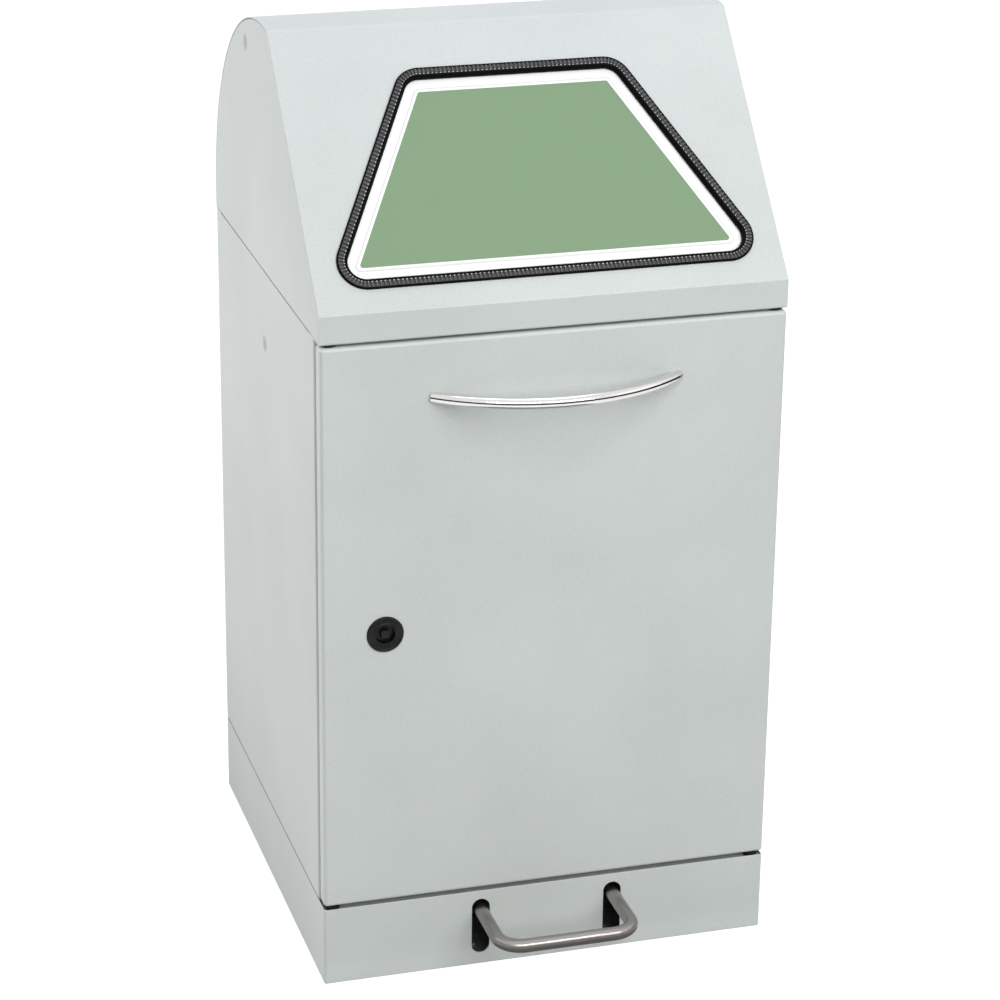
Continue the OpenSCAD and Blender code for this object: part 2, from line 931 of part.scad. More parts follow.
// Liner: an open-topped sheet container with a rolled rim
module liner() {
    color(zinc_colour)
        difference() {
            union() {
                translate([0, 0, floor_top])
                    linear_extrude(liner_h - rim_r)
                        liner_outline(0);
                translate([0, 0, liner_top - rim_r])
                    liner_rim();
            }
            translate([0, 0, floor_top + liner_sheet])
                linear_extrude(liner_h + cut)
                    liner_outline(-liner_sheet);
            both_sides()
                bar_x([liner_x - 2 * liner_sheet, liner_mid, bail_z], 4 * liner_sheet, bail_r + run_fit);
        }
}

module liner_rim() {
    x = liner_x - liner_corner;
    y0 = liner_y0 + liner_corner;
    y1 = liner_y1 - liner_corner;
    out = liner_corner + rim_x - liner_x;
    for (y = [y0 - out, y1 + out])
        bar_x([-x, y, 0], 2 * x, rim_r);
    for (sx = [-x - out, x + out])
        bar_y([sx, y0, 0], y1 - y0, rim_r);
    for (corner = [[x, y1, 0], [-x, y1, 90], [-x, y0, 180], [x, y0, 270]])
        translate([corner.x, corner.y, 0])
            rotate(corner.z)
                rotate_extrude(angle = 90)
                    translate([out, 0])
                        circle(r = rim_r, $fn = 32);
}

// Ears on the liner's sides that the bail turns in
module liner_ears() {
    color(zinc_colour)
        both_sides()
            difference() {
                box(
                    [liner_x, liner_mid - ear_w / 2, bail_z - ear_h / 2],
                    [liner_x + ear_t, liner_mid + ear_w / 2, bail_z + ear_h / 2]
                );
                bar_x([liner_x - cut, liner_mid, bail_z], ear_t + 2 * cut, bail_r + run_fit);
                for (y = [-ear_rivet_out, ear_rivet_out])
                    bar_x(
                        [liner_x - cut, liner_mid + y, bail_z - ear_rivet_drop],
                        ear_t + 2 * cut,
                        ear_rivet_r + fixed_fit
                    );
            }
}

module ear_rivets() {
    color("silver")
        both_sides()
            for (y = [-ear_rivet_out, ear_rivet_out]) {
                bar_x(
                    [liner_x + fixed_fit, liner_mid + y, bail_z - ear_rivet_drop],
                    ear_t - fixed_fit,
                    ear_rivet_r
                );
                bar_x(
                    [liner_x + ear_t, liner_mid + y, bail_z - ear_rivet_drop],
                    ear_rivet_head_t,
                    ear_rivet_head_r
                );
            }
}

// Door: a folded pan with a flange round its back
module door_panel() {
    color(body_colour)
        difference() {
            box([-door_half, front_y, door_z], [door_half, door_back, door_top]);
            box(
                [-door_half + sheet, front_y + sheet, door_z + sheet],
                [door_half - sheet, door_back - sheet, door_top - sheet]
            );
            box(
                [-door_half + door_flange, door_back - 2 * sheet, door_z + door_flange],
                [door_half - door_flange, door_back + cut, door_top - door_flange]
            );
            bar_y([lock_x, front_y - cut, lock_z], sheet + 2 * cut, lock_body_r + fixed_fit);
            both_sides()
                bar_y([handle_screw_x, front_y - cut, handle_z], sheet + 2 * cut, screw_r + fixed_fit);
            for (z = [door_z - cut, door_top - 2 * sheet])
                bar_z([hinge_x, hinge_y, z], 2 * sheet + cut, hinge_r + fixed_fit);
        }
}

// Hat-shaped stiffener down the middle of the door
module door_stiffener() {
    y0 = front_y + sheet;
    y1 = door_back - sheet;
    z0 = door_z + sheet + touch;
    z1 = door_top - sheet - touch;
    color(body_colour) {
        both_sides() {
            box([stiffener_w / 2 - sheet, y0, z0], [stiffener_w / 2 + stiffener_foot, y0 + sheet, z1]);
            box([stiffener_w / 2 - sheet, y0, z0], [stiffener_w / 2, y1, z1]);
        }
        box([-stiffener_w / 2, y1 - sheet, z0], [stiffener_w / 2, y1, z1]);
    }
}

// Bowed handle: one round bar on a circular arc, cut off flat against the door
module door_handle() {
    color(steel_colour)
        difference() {
            intersection() {
                translate([0, front_y - handle_bow + handle_radius, handle_z])
                    rotate([0, 0, 180])
                        rotate_extrude(angle = 180, $fn = 180)
                            translate([handle_radius, 0])
                                circle(r = handle_r, $fn = 48);
                box([-handle_w, front_y - 2 * handle_bow, handle_z - 20], [handle_w, front_y, handle_z + 20]);
            }
            both_sides()
                bar_y(
                    [handle_screw_x, front_y - handle_bore, handle_z],
                    handle_bore + cut,
                    screw_r - bore_fit
                );
        }
}

// Screws that hold the handle from inside the door
module handle_screws() {
    color("silver")
        both_sides() {
            bar_y(
                [handle_screw_x, front_y - handle_grip, handle_z],
                handle_grip + sheet + cut,
                screw_r - thread_fit
            );
            bar_y([handle_screw_x, front_y + sheet, handle_z], screw_head_t, screw_head_r);
        }
}

// Hinge pins with a collar inside the door's lower and upper edge
module door_pins() {
    color(black_colour) {
        bar_z(
            [hinge_x, hinge_y, ledge_low - pin_below],
            door_z - ledge_low + pin_below + pin_inside,
            hinge_r
        );
        bar_z([hinge_x, hinge_y, door_z + sheet], pin_collar_t, pin_collar_r);
        bar_z(
            [hinge_x, hinge_y, door_top - pin_inside],
            pin_inside + door_high + 2 * sheet + pin_above,
            hinge_r
        );
        bar_z([hinge_x, hinge_y, door_top - sheet - pin_collar_t], pin_collar_t, pin_collar_r);
    }
}

// Rubber buffers between the door and the body
module door_buffers() {
    color(black_colour)
        for (z = [door_z + door_buffer_inset, door_top - door_buffer_inset])
            bar_y([-buffer_x, door_back, z], door_buffer_t, door_buffer_r);
}

// Lock housing: a cover ring outside and a threaded body through the door
module lock_housing() {
    edge = 0.8;
    length = door_t - lock_set;
    color(black_colour)
        difference() {
            union() {
                translate([lock_x, front_y, lock_z])
                    rotate([90, 0, 0]) {
                        cylinder(h = lock_cover_t - edge, r = lock_r);
                        translate([0, 0, lock_cover_t - edge])
                            cylinder(h = edge, r1 = lock_r, r2 = lock_r - edge);
                    }
                bar_y([lock_x, front_y - cut, lock_z], length + cut, lock_body_r);
            }
            bar_y([lock_x, front_y - lock_r, lock_z], lock_r + length + cut, barrel_r + run_fit);
        }
}

// Flat nut that clamps the housing from inside the door
module lock_nut() {
    color(zinc_colour)
        translate([lock_x, front_y + sheet, lock_z])
            rotate([-90, 0, 0])
                difference() {
                    cylinder(h = lock_nut_t, r = lock_nut_r, $fn = 6);
                    translate([0, 0, -cut])
                        cylinder(h = lock_nut_t + 2 * cut, r = lock_body_r + fixed_fit);
                }
}

// Barrel of the lock with a square in its recess and a square tail for the cam
module lock_barrel() {
    face = front_y - lock_cover_t + key_depth;
    tail = door_back - lock_set;
    color(black_colour) {
        bar_y([lock_x, face, lock_z], tail - face, barrel_r);
        box(
            [lock_x - key_size / 2, face - key_depth + 1, lock_z - key_size / 2],
            [lock_x + key_size / 2, face + cut, lock_z + key_size / 2]
        );
        bar_y([lock_x, tail + touch, lock_z], barrel_flange_t, lock_body_r);
        box(
            [lock_x - cam_square / 2, tail - cut, lock_z - cam_square / 2],
            [lock_x + cam_square / 2, cam_y + cam_t, lock_z + cam_square / 2]
        );
    }
}

// Cam that turns behind the body's flange; it hangs down while the door is unlocked
module lock_cam() {
    color(zinc_colour)
        difference() {
            union() {
                bar_y([lock_x, cam_y, lock_z], cam_t, cam_hub_r);
                box(
                    [lock_x - cam_square, cam_y, lock_z - cam_len],
                    [lock_x + cam_square, cam_y + cam_t, lock_z]
                );
            }
            box(
                [lock_x - cam_square / 2 - fixed_fit, cam_y - cut, lock_z - cam_square / 2 - fixed_fit],
                [
                    lock_x + cam_square / 2 + fixed_fit,
                    cam_y + cam_t + cut,
                    lock_z + cam_square / 2 + fixed_fit
                ]
            );
        }
}

module cam_screw() {
    color("silver")
        bar_y([lock_x, cam_y + cam_t, lock_z], screw_head_t, cam_screw_head_r);
}

// Flap: a white folded pan that closes the opening from behind
module flap_panel() {
    color(white_colour)
        on_slope()
            difference() {
                translate([0, 0, -recess - flap_depth])
                    linear_extrude(flap_depth)
                        chute_outline(flap_inset);
                translate([0, 0, -recess - flap_depth - cut])
                    linear_extrude(flap_depth + cut - sheet)
                        chute_outline(flap_inset + sheet);
            }
}

// Thin white plate on the flap, and the coloured field on it
module flap_plate() {
    color(white_colour)
        on_slope()
            translate([0, 0, -recess])
                linear_extrude(plate_t)
                    field_outline(field_inset - plate_rim);
}

module flap_field() {
    color([0.565, 0.675, 0.553])
        on_slope()
            translate([0, 0, plate_t - recess])
                linear_extrude(field_t)
                    field_outline(field_inset);
}

// Arms from the shaft to the flap, each with a foot along the flap's back
module flap_arms() {
    foot_mid = (arm_foot_high + arm_foot_low) / 2;
    hub = [shaft_up, shaft_out];
    along = (hub - [foot_mid, arm_face]) / norm(hub - [foot_mid, arm_face]);
    across = 0.9 * arm_hub_r * [-along.y, along.x];
    foot_edge = arm_face - arm_foot_rim;
    color(zinc_colour)
        on_slope()
            both_sides()
                difference() {
                    union() {
                        side_plate(arm_x - arm_t, arm_t)
                            union() {
                                translate(hub)
                                    circle(r = arm_hub_r);
                                polygon([
                                    [arm_foot_high, arm_face], [arm_foot_low, arm_face],
                                    [arm_foot_low, foot_edge], hub - across, hub + across
                                ]);
                            }
                        box(
                            [arm_x - arm_foot_w, arm_foot_low, arm_face - arm_t],
                            [arm_x, arm_foot_high, arm_face]
                        );
                    }
                    bar_x([arm_x - arm_t - cut, hub.x, hub.y], arm_t + 2 * cut, shaft_r + fixed_fit);
                    arm_stud_places()
                        translate([0, 0, -arm_t - cut])
                            cylinder(h = arm_t + 2 * cut, r = stud_r + fixed_fit);
                }
}

module arm_stud_places() {
    for (y = [arm_foot_low + stud_inset, arm_foot_high - stud_inset])
        translate([arm_x - arm_t - arm_foot_w / 2 + stud_aside, y, arm_face])
            children();
}

// Welded studs on the flap's back with the nuts that hold the arms
module arm_nuts() {
    color("silver")
        on_slope()
            both_sides()
                arm_stud_places() {
                    translate([0, 0, -arm_t - nut_t - 2])
                        cylinder(h = arm_t + nut_t + 2, r = stud_r);
                    translate([0, 0, -arm_t - nut_t])
                        cylinder(h = nut_t, r = nut_r, $fn = 6);
                }
}

// Shaft that the flap hangs from
module flap_shaft() {
    color(steel_colour)
        bar_x([-shaft_end, shaft_y, shaft_z], 2 * shaft_end, shaft_r);
}

// Clips that keep the shaft between its bearings
module shaft_clips() {
    color("dimgray")
        both_sides()
            difference() {
                bar_x([clip_x, shaft_y, shaft_z], clip_t, shaft_r + clip_rim);
                bar_x([clip_x - cut, shaft_y, shaft_z], clip_t + 2 * cut, shaft_r + fixed_fit);
            }
}

// Crank on the shaft that the push rod turns
module crank_arm() {
    color(zinc_colour)
        difference() {
            side_plate(crank_x, crank_t)
                link_outline([shaft_y, shaft_z], crank_hub_r, [pin_y, pin_z], crank_end_r);
            bar_x([crank_x - cut, shaft_y, shaft_z], crank_t + 2 * cut, shaft_r + fixed_fit);
            bar_x([crank_x - cut, pin_y, pin_z], crank_t + 2 * cut, crank_pin_r + fixed_fit);
        }
}

module crank_pin() {
    color(steel_colour) {
        bar_x([crank_x, pin_y, pin_z], pin_end_x + crank_head_t - crank_x, crank_pin_r);
        bar_x([pin_end_x, pin_y, pin_z], crank_head_t, crank_head_r);
    }
}

// Push rod from the lifting pad up into the hood
module push_rod() {
    low = foot_z + 1;
    color(steel_colour)
        bar_z([rod_x, rod_y, low], fork_boss_z + fork_boss_h - 2 - low, rod_r);
}

// Fork on the rod's upper end
module rod_fork() {
    y0 = pin_y - touch;
    y1 = pin_far_y + touch;
    outer = fork_slot_r + fork_web;
    color(zinc_colour)
        difference() {
            union() {
                side_plate(rod_x - fork_t / 2, fork_t)
                    union() {
                        for (y = [y0, y1])
                            translate([y, fork_z])
                                circle(r = outer);
                        translate([y0, fork_z - outer])
                            square([y1 - y0, 2 * outer]);
                        translate([rod_y - fork_stem_w / 2, fork_boss_z])
                            square([fork_stem_w, fork_z - fork_boss_z]);
                    }
                bar_z([rod_x, rod_y, fork_boss_z], fork_boss_h, fork_boss_r);
            }
            for (y = [y0, y1])
                bar_x([rod_x - fork_t, y, fork_z], 2 * fork_t, fork_slot_r);
            box([rod_x - fork_t, y0, fork_z - fork_slot_r], [rod_x + fork_t, y1, fork_z + fork_slot_r]);
            bar_z([rod_x, rod_y, fork_boss_z - cut], fork_boss_h - 2 + 2 * cut, rod_r + fixed_fit);
        }
}

// Round foot that stands on the lifting pad
module rod_foot() {
    color(nylon_colour)
        difference() {
            bar_z([rod_x, rod_y, foot_z], foot_t, foot_r);
            bar_z([rod_x, rod_y, foot_z + 1 - fixed_fit], foot_t, rod_r + fixed_fit);
        }
}

// Collar under the return spring, held by a grub screw
module spring_collar() {
    z = collar_top - collar_h;
    color(zinc_colour)
        difference() {
            bar_z([rod_x, rod_y, z], collar_h, collar_r);
            bar_z([rod_x, rod_y, z - cut], collar_h + 2 * cut, rod_r + fixed_fit);
            bar_y([rod_x, rod_y - collar_r - cut, z + collar_h / 2], collar_r, collar_screw_r + fixed_fit);
        }
}

module collar_screw() {
    color("dimgray")
        bar_y(
            [rod_x, rod_y - collar_r, collar_top - collar_h / 2],
            collar_r - rod_r - fixed_fit,
            collar_screw_r
        );
}

// Pedal: a round bar bent to a U, its legs running back into the plinth
module pedal_bar() {
    bar = front_y - pedal_out + pedal_r;
    leg_end = pedal_y - axle_r - 1;
    color(steel_colour) {
        bar_x([pedal_bend - pedal_x, bar, pedal_z], 2 * (pedal_x - pedal_bend), pedal_r);
        both_sides() {
            bar_y([pedal_x, bar + pedal_bend, pedal_z], leg_end - bar - pedal_bend, pedal_r);
            translate([pedal_x - pedal_bend, bar + pedal_bend, pedal_z])
                rotate([0, 0, 270])
                    rotate_extrude(angle = 90)
                        translate([pedal_bend, 0])
                            circle(r = pedal_r, $fn = 48);
        }
    }
}

// Blocks that clamp the pedal's legs to its shaft
module pedal_hubs() {
    color(zinc_colour)
        both_sides()
            difference() {
                box(
                    [pedal_x - hub_w / 2, pedal_y - hub_front, pedal_z - hub_h / 2],
                    [pedal_x + hub_w / 2, pedal_y + hub_h / 2, pedal_z + hub_h / 2]
                );
                bar_x([pedal_x - hub_w, pedal_y, pedal_z], 2 * hub_w, axle_r + fixed_fit);
                bar_y([pedal_x, pedal_y - hub_front - cut, pedal_z], hub_front + cut, pedal_r + fixed_fit);
                bar_z([pedal_x, pedal_y, pedal_z], hub_h, hub_screw_r + fixed_fit);
            }
}

module hub_screws() {
    color("dimgray")
        both_sides()
            bar_z(
                [pedal_x, pedal_y, pedal_z + axle_r + fixed_fit],
                hub_h / 2 - axle_r - fixed_fit,
                hub_screw_r
            );
}

// Shaft that the pedal turns about
module pedal_shaft() {
    color(zinc_colour)
        bar_x([-axle_end, pedal_y, pedal_z], 2 * axle_end, axle_r);
}

// Arm on the shaft's right end that lifts the push rod
module lifter_arm() {
    color(zinc_colour)
        difference() {
            side_plate(lifter_x, lifter_t)
                link_outline([pedal_y, pedal_z], lifter_hub_r, [pad_y, pad_z], lifter_end_r);
            bar_x([lifter_x - cut, pedal_y, pedal_z], lifter_t + 2 * cut, axle_r + fixed_fit);
            bar_x([lifter_x - cut, pad_y, pad_z], lifter_t + 2 * cut, pad_pin_r + fixed_fit);
        }
}

// Round nylon pad that the rod's foot rides on
module lifter_pad() {
    color(nylon_colour)
        difference() {
            bar_x([rod_x - pad_w / 2, pad_y, pad_z], pad_w, pad_r);
            bar_x([rod_x - pad_w, pad_y, pad_z], 2 * pad_w, pad_pin_r + fixed_fit);
        }
}

module pad_pin() {
    end = rod_x + pad_w / 2 + touch;
    color(steel_colour) {
        bar_x([lifter_x, pad_y, pad_z], end + pin_head_t - lifter_x, pad_pin_r);
        bar_x([end, pad_y, pad_z], pin_head_t, pad_pin_r + pin_rim);
    }
}

// Bail of the liner, lying back on the rim
module liner_bail() {
    color(zinc_colour)
        translate([0, liner_mid, bail_z])
            rotate([bail_rest, 0, 0]) {
                bar_x([bail_bend - bail_x, bail_reach, 0], 2 * (bail_x - bail_bend), bail_r);
                both_sides() {
                    bar_y([bail_x, 0, 0], bail_reach - bail_bend, bail_r);
                    translate([bail_x - bail_bend, bail_reach - bail_bend, 0])
                        rotate_extrude(angle = 90)
                            translate([bail_bend, 0])
                                circle(r = bail_r, $fn = 32);
                    translate([bail_x, 0, 0])
                        sphere(r = bail_r, $fn = 32);
                    bar_x([liner_x - 2, 0, 0], bail_x - liner_x + 2, bail_r);
                }
            }
}

// Return spring: one wire wound round the rod between the collar and the upper guide
spring_steps = 24;
spring_sides = 6;
spring_count = spring_turns * spring_steps;
spring_low = collar_top + touch + spring_wire;
spring_run = spring_top - touch - spring_wire - spring_low;

function spring_point(i) =
    let (turn = 360 * i / spring_steps)
    [spring_r * cos(turn), spring_r * sin(turn), spring_low + spring_run * i / spring_count];

function spring_ring(i) =
    let (turn = 360 * i / spring_steps, out = [cos(turn), sin(turn), 0])
    [for (k = [0 : spring_sides - 1])
        let (side = 360 * k / spring_sides)
        spring_point(i) + spring_wire * (cos(side) * out + [0, 0, sin(side)])];

spring_gap = min([for (k = [-4 : 4])
    norm(spring_point(spring_steps + k) - spring_point(0))]) - 2 * spring_wire;

module return_spring() {
    points = [for (i = [0 : spring_count]) each spring_ring(i)];
    last = spring_count * spring_sides;
    sides = [for (i = [0 : spring_count - 1], k = [0 : spring_sides - 1])
        let (a = i * spring_sides + k, b = i * spring_sides + (k + 1) % spring_sides)
        each [[a, a + spring_sides, b], [b, a + spring_sides, b + spring_sides]]];
    start_cap = [for (k = [1 : spring_sides - 2]) [0, k, k + 1]];
    end_cap = [for (k = [1 : spring_sides - 2]) [last, last + k + 1, last + k]];
    echo("Least gap between the spring's turns", spring_gap);
    color(steel_colour)
        translate([rod_x, rod_y, 0])
            polyhedron(points = points, faces = concat(sides, start_cap, end_cap));
}

plinth_frame();
stop_plate();
stop_rivets();
pedal_buffers();
bearing_brackets();
pedal_bushes();
hinge_bushes();
floor_panel();
cabinet_shell();
front_rail();
guide_rails();
rod_guides();
cabinet_screws();
side_rivets();
hood_shell();
hood_side_left();
hood_side_right();
shaft_bearings();
opening_trim();
liner();
liner_ears();
ear_rivets();
door_panel();
door_stiffener();
door_handle();
handle_screws();
door_pins();
door_buffers();
lock_housing();
lock_nut();
lock_barrel();
lock_cam();
cam_screw();
flap_panel();
flap_plate();
flap_field();
flap_arms();
arm_nuts();
flap_shaft();
shaft_clips();
crank_arm();
crank_pin();
push_rod();
rod_fork();
rod_foot();
spring_collar();
collar_screw();
pedal_bar();
pedal_hubs();
hub_screws();
pedal_shaft();
lifter_arm();
lifter_pad();
pad_pin();
liner_bail();
return_spring();
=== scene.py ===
"""Looks of a free-standing pedal recycling bin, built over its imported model.

The bin is folded steel sheet with a light grey powder coat: a plinth with a foot pedal, a body with a lockable door,
and a hood whose sloping front holds a white flap in a black edge trim. The sections follow the order of assembly.
"""

import math

import bpy
import numpy as np
from mathutils import Matrix, Vector
from mathutils.geometry import delaunay_2d_cdt


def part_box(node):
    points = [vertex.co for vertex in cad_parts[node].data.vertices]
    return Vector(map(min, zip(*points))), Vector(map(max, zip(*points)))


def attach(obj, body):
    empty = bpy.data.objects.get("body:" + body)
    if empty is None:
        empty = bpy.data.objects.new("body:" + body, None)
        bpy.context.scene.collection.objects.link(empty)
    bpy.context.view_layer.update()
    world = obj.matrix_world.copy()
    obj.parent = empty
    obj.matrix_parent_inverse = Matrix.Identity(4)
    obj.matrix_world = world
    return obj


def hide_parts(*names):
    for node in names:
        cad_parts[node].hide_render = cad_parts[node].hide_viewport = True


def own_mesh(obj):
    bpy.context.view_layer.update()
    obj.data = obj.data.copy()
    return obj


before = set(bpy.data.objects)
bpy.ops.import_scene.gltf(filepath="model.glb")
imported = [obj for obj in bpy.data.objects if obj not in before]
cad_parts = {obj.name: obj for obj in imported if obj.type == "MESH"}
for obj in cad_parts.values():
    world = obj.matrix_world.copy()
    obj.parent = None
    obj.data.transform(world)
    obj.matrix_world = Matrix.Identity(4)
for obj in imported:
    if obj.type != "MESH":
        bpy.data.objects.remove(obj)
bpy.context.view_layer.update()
MM = 0.001

# The camera stands in front of the bin, left of its middle and above it, as the photograph does.
# Its place and lens were worked out from the corners of the cabinet.
azimuth, elevation, roll = math.radians(-16.63), math.radians(21.74), math.radians(0.733)
level_part = math.cos(elevation)
back = Vector((math.sin(azimuth) * level_part, -math.cos(azimuth) * level_part, math.sin(elevation)))
level_right = (-back).cross(Vector((0, 0, 1))).normalized()
level_up = level_right.cross(-back)
right = math.cos(roll) * level_right + math.sin(roll) * level_up
up = math.cos(roll) * level_up - math.sin(roll) * level_right
camera_data = bpy.data.cameras.new("camera")
camera_data.sensor_width = 36.0
camera_data.lens = 118.5
camera = bpy.data.objects.new("camera", camera_data)
camera.matrix_world = Matrix.Translation((-0.7723, -2.627, 1.446)) @ Matrix((right, up, back)).transposed().to_4x4()
bpy.context.scene.collection.objects.link(camera)
bpy.context.scene.camera = camera
bpy.context.scene.view_settings.view_transform = "Standard"


# The studio: a pale floor, a white surrounding, a large soft lamp in front, a second one behind on the left, and two
# weak ones on the right and overhead. Polished metal also sees a dark band, a grey card and a strip light.
def fill_mesh(name, points, faces, *materials):
    """A new mesh object from arrays of corners (n, 3) and of faces."""
    mesh = bpy.data.meshes.new(name)
    mesh.from_pydata(np.asarray(points, float).reshape(-1, 3).tolist(), [], [list(map(int, f)) for f in faces])
    mesh.validate()
    piece = bpy.data.objects.new(name, mesh)
    bpy.context.scene.collection.objects.link(piece)
    for material in materials:
        mesh.materials.append(material)
    return piece


def grid_quads(rows, columns, closed_rows=False, closed_columns=False):
    """Quads (m, 4) between the points of a grid that is numbered row by row."""
    r = np.arange(rows if closed_rows else rows - 1)
    c = np.arange(columns if closed_columns else columns - 1)
    r, c = np.meshgrid(r, c, indexing="ij")
    r2, c2 = (r + 1) % rows, (c + 1) % columns
    return np.stack([r * columns + c, r * columns + c2, r2 * columns + c2, r2 * columns + c], -1).reshape(-1, 4)


def arc_points(centre, radius, first, last, count):
    """Points (count, 2) on a circle, evenly spaced from a first to a last angle in degrees."""
    angles = np.radians(np.linspace(first, last, count))
    return np.asarray(centre) + radius * np.stack([np.cos(angles), np.sin(angles)], 1)


one_face = [(0, 1, 2, 3)]


def card_corners(corner, first_side, second_side):
    """The four corners of a flat card, from one of them and the two sides that start there."""
    corner, first_side, second_side = np.array([corner, first_side, second_side], float)
    return [corner, corner + first_side, corner + first_side + second_side, corner + second_side]


def new_material(name, **sockets):
    """A material with one Principled shader, whose plain sockets are set here."""
    material = bpy.data.materials.new(name)
    material.use_nodes = True
    shader = material.node_tree.nodes["Principled BSDF"]
    for socket, value in sockets.items():
        shader.inputs[socket.replace("_", " ")].default_value = value
    return material


def add_node(tree, kind, feeds=(), **properties):
    """A node with its properties, its inputs fed by (source, input) pairs. A source is a socket or a plain value."""
    node = tree.nodes.new("ShaderNode" + kind)
    for key, value in properties.items():
        setattr(node, key, value)
    for source, target in feeds:
        if isinstance(source, bpy.types.NodeSocket):
            tree.links.new(source, node.inputs[target])
        else:
            node.inputs[target].default_value = source
    return node


def calculate(tree, operation, *values, kind="Math"):
    """The result of one sum on sockets and plain values."""
    return add_node(tree, kind, [(value, i) for i, value in enumerate(values)], operation=operation).outputs[0]


def spread(tree, factor, low, high):
    """A factor from 0 to 1, spread evenly between two values."""
    return add_node(tree, "MapRange", [(factor, "Value"), (low, "To Min"), (high, "To Max")]).outputs["Result"]


def lay_floor():
    """A square floor. Where the camera looks at it, and less in a gloss, it is lifted towards white by a constant
    amount, so that it keeps the bin's shadow; the dark ground inside the plinth isn't lifted."""
    half, plinth_edge, lift, share_in_gloss = 6.0, 0.199, 0.8, 0.85
    paint = new_material("pale_floor", Base_Color=(0.45, 0.45, 0.45, 1), Roughness=0.9, Emission_Color=(1, 1, 1, 1))
    tree = paint.node_tree
    ray = add_node(tree, "LightPath").outputs
    in_gloss = calculate(tree, "MULTIPLY", ray["Is Glossy Ray"], share_in_gloss)
    seen = calculate(tree, "MAXIMUM", ray["Is Camera Ray"], in_gloss)
    away = calculate(tree, "ABSOLUTE", add_node(tree, "TexCoord").outputs["Object"], kind="VectorMath")
    along = add_node(tree, "SeparateXYZ", [(away, 0)]).outputs
    outside = calculate(tree, "GREATER_THAN", calculate(tree, "MAXIMUM", along["X"], along["Y"]), plinth_edge)
    strength = calculate(tree, "MULTIPLY", calculate(tree, "MULTIPLY", seen, outside), lift)
    tree.links.new(strength, tree.nodes["Principled BSDF"].inputs["Emission Strength"])
    corners = card_corners((-half, -half, 0), (2 * half, 0, 0), (0, 2 * half, 0))
    fill_mesh("floor", corners, one_face, paint)


def light_world():
    """A plain grey light from all sides that camera, gloss and glass see as white."""
    world = bpy.data.worlds.new("surrounding")
    bpy.context.scene.world = world
    world.use_nodes = True
    tree = world.node_tree
    ray = add_node(tree, "LightPath").outputs
    seen = calculate(tree, "MAXIMUM", ray["Is Camera Ray"], ray["Is Glossy Ray"])
    seen = calculate(tree, "MAXIMUM", seen, ray["Is Transmission Ray"])
    sky = tree.nodes["Background"].inputs
    sky["Color"].default_value = (1, 1, 1, 1)
    tree.links.new(spread(tree, seen, 0.38, 1.0), sky["Strength"])


def hang_lamp(name, place, target, size, power):
    """A soft lamp of a width and height, at a place, turned towards a target."""
    data = bpy.data.lights.new(name, "AREA")
    data.shape = "RECTANGLE"
    data.size, data.size_y = size
    data.energy = power
    lamp = bpy.data.objects.new(name, data)
    lamp.location = place
    lamp.rotation_euler = (Vector(target) - Vector(place)).to_track_quat("-Z", "Y").to_euler()
    bpy.context.scene.collection.objects.link(lamp)
    return lamp


def place_card(name, corners, faces, brightness, glow, hidden_from):
    """A matt card in the surroundings, hidden from the kinds of rays that are named."""
    paint = new_material(
        name, Base_Color=(*[brightness] * 3, 1), Roughness=1.0, Emission_Color=(1, 1, 1, 1), Emission_Strength=glow
    )
    card = fill_mesh(name, corners, faces, paint)
    for kind in hidden_from:
        setattr(card, "visible_" + kind, False)


lay_floor()
light_world()
main_lamp = hang_lamp("main_lamp", (0.4, -2.6, 2.4), (0, 0, 0.6), (2.6, 3.2), 86.5)
main_lamp.visible_glossy = False
hang_lamp("side_lamp", (-2.6, 1.7, 1.5), (0, 0, 0.45), (1.8, 1.8), 59.0)
hang_lamp("right_lamp", (2.6, -1.6, 1.8), (0, 0, 0.4), (1.8, 1.8), 3.0)
top_lamp = hang_lamp("top_lamp", (0.1, 0.5, 2.8), (0, 0, 0.7), (1.6, 1.6), 10.8)
top_lamp.data.color = (0.97, 0.98, 1.25)

# Three things that only gloss sees: the grey card in front of the foot, the dark band and the strip light.
all_but_gloss = ("camera", "diffuse", "transmission", "shadow")
grey_card = card_corners((-0.25, -0.58, 0.012), (0.5, 0, 0), (0, 0.37, 0))
place_card("grey_card", grey_card, one_face, 0.26, 0.0, all_but_gloss)
rings = [
    np.insert(arc_points((0, 0), radius, -200, 20, 45), 2, height, axis=1)
    for radius, height in ((1.9, 0.012), (5.0, 0.012), (5.0, 1.3))
]
place_card("dark_surrounding", np.concatenate(rings), grid_quads(3, 45), 0.015, 0.0, all_but_gloss)
strip_light = card_corners((-1.6, -2.95, 2.05), (3.2, 0, 0), (0, 0.15, 0.2))
place_card("strip_light", strip_light, one_face, 0.5, 20.0, all_but_gloss)

# An upright black card a quarter of the way to the side lamp, up to the height where it starts to hide the lamp's
# lower edge from the foot of the side. Only shadows see it.
flag = card_corners((-1.2, -0.17, 0), (0.8, 1.2, 0), (0, 0, 0.3))
place_card("lamp_flag", flag, one_face, 0.02, 0.0, ("camera", "diffuse", "glossy", "transmission"))


# The powder coat: fine-grained satin paint, light grey with a trace of green, on every folded sheet of the cabinet.
# Its grain is a fine bump with a faint mottle of the colour, and the roughness varies with it.
def new_group(name, **inputs):
    """An empty shader group with inputs of the given kinds. Returns it and its inputs' sockets."""
    group = bpy.data.node_groups.new(name, "ShaderNodeTree")
    for label, kind in inputs.items():
        group.interface.new_socket(label, in_out="INPUT", socket_type="NodeSocket" + kind)
    return group, group.nodes.new("NodeGroupInput").outputs


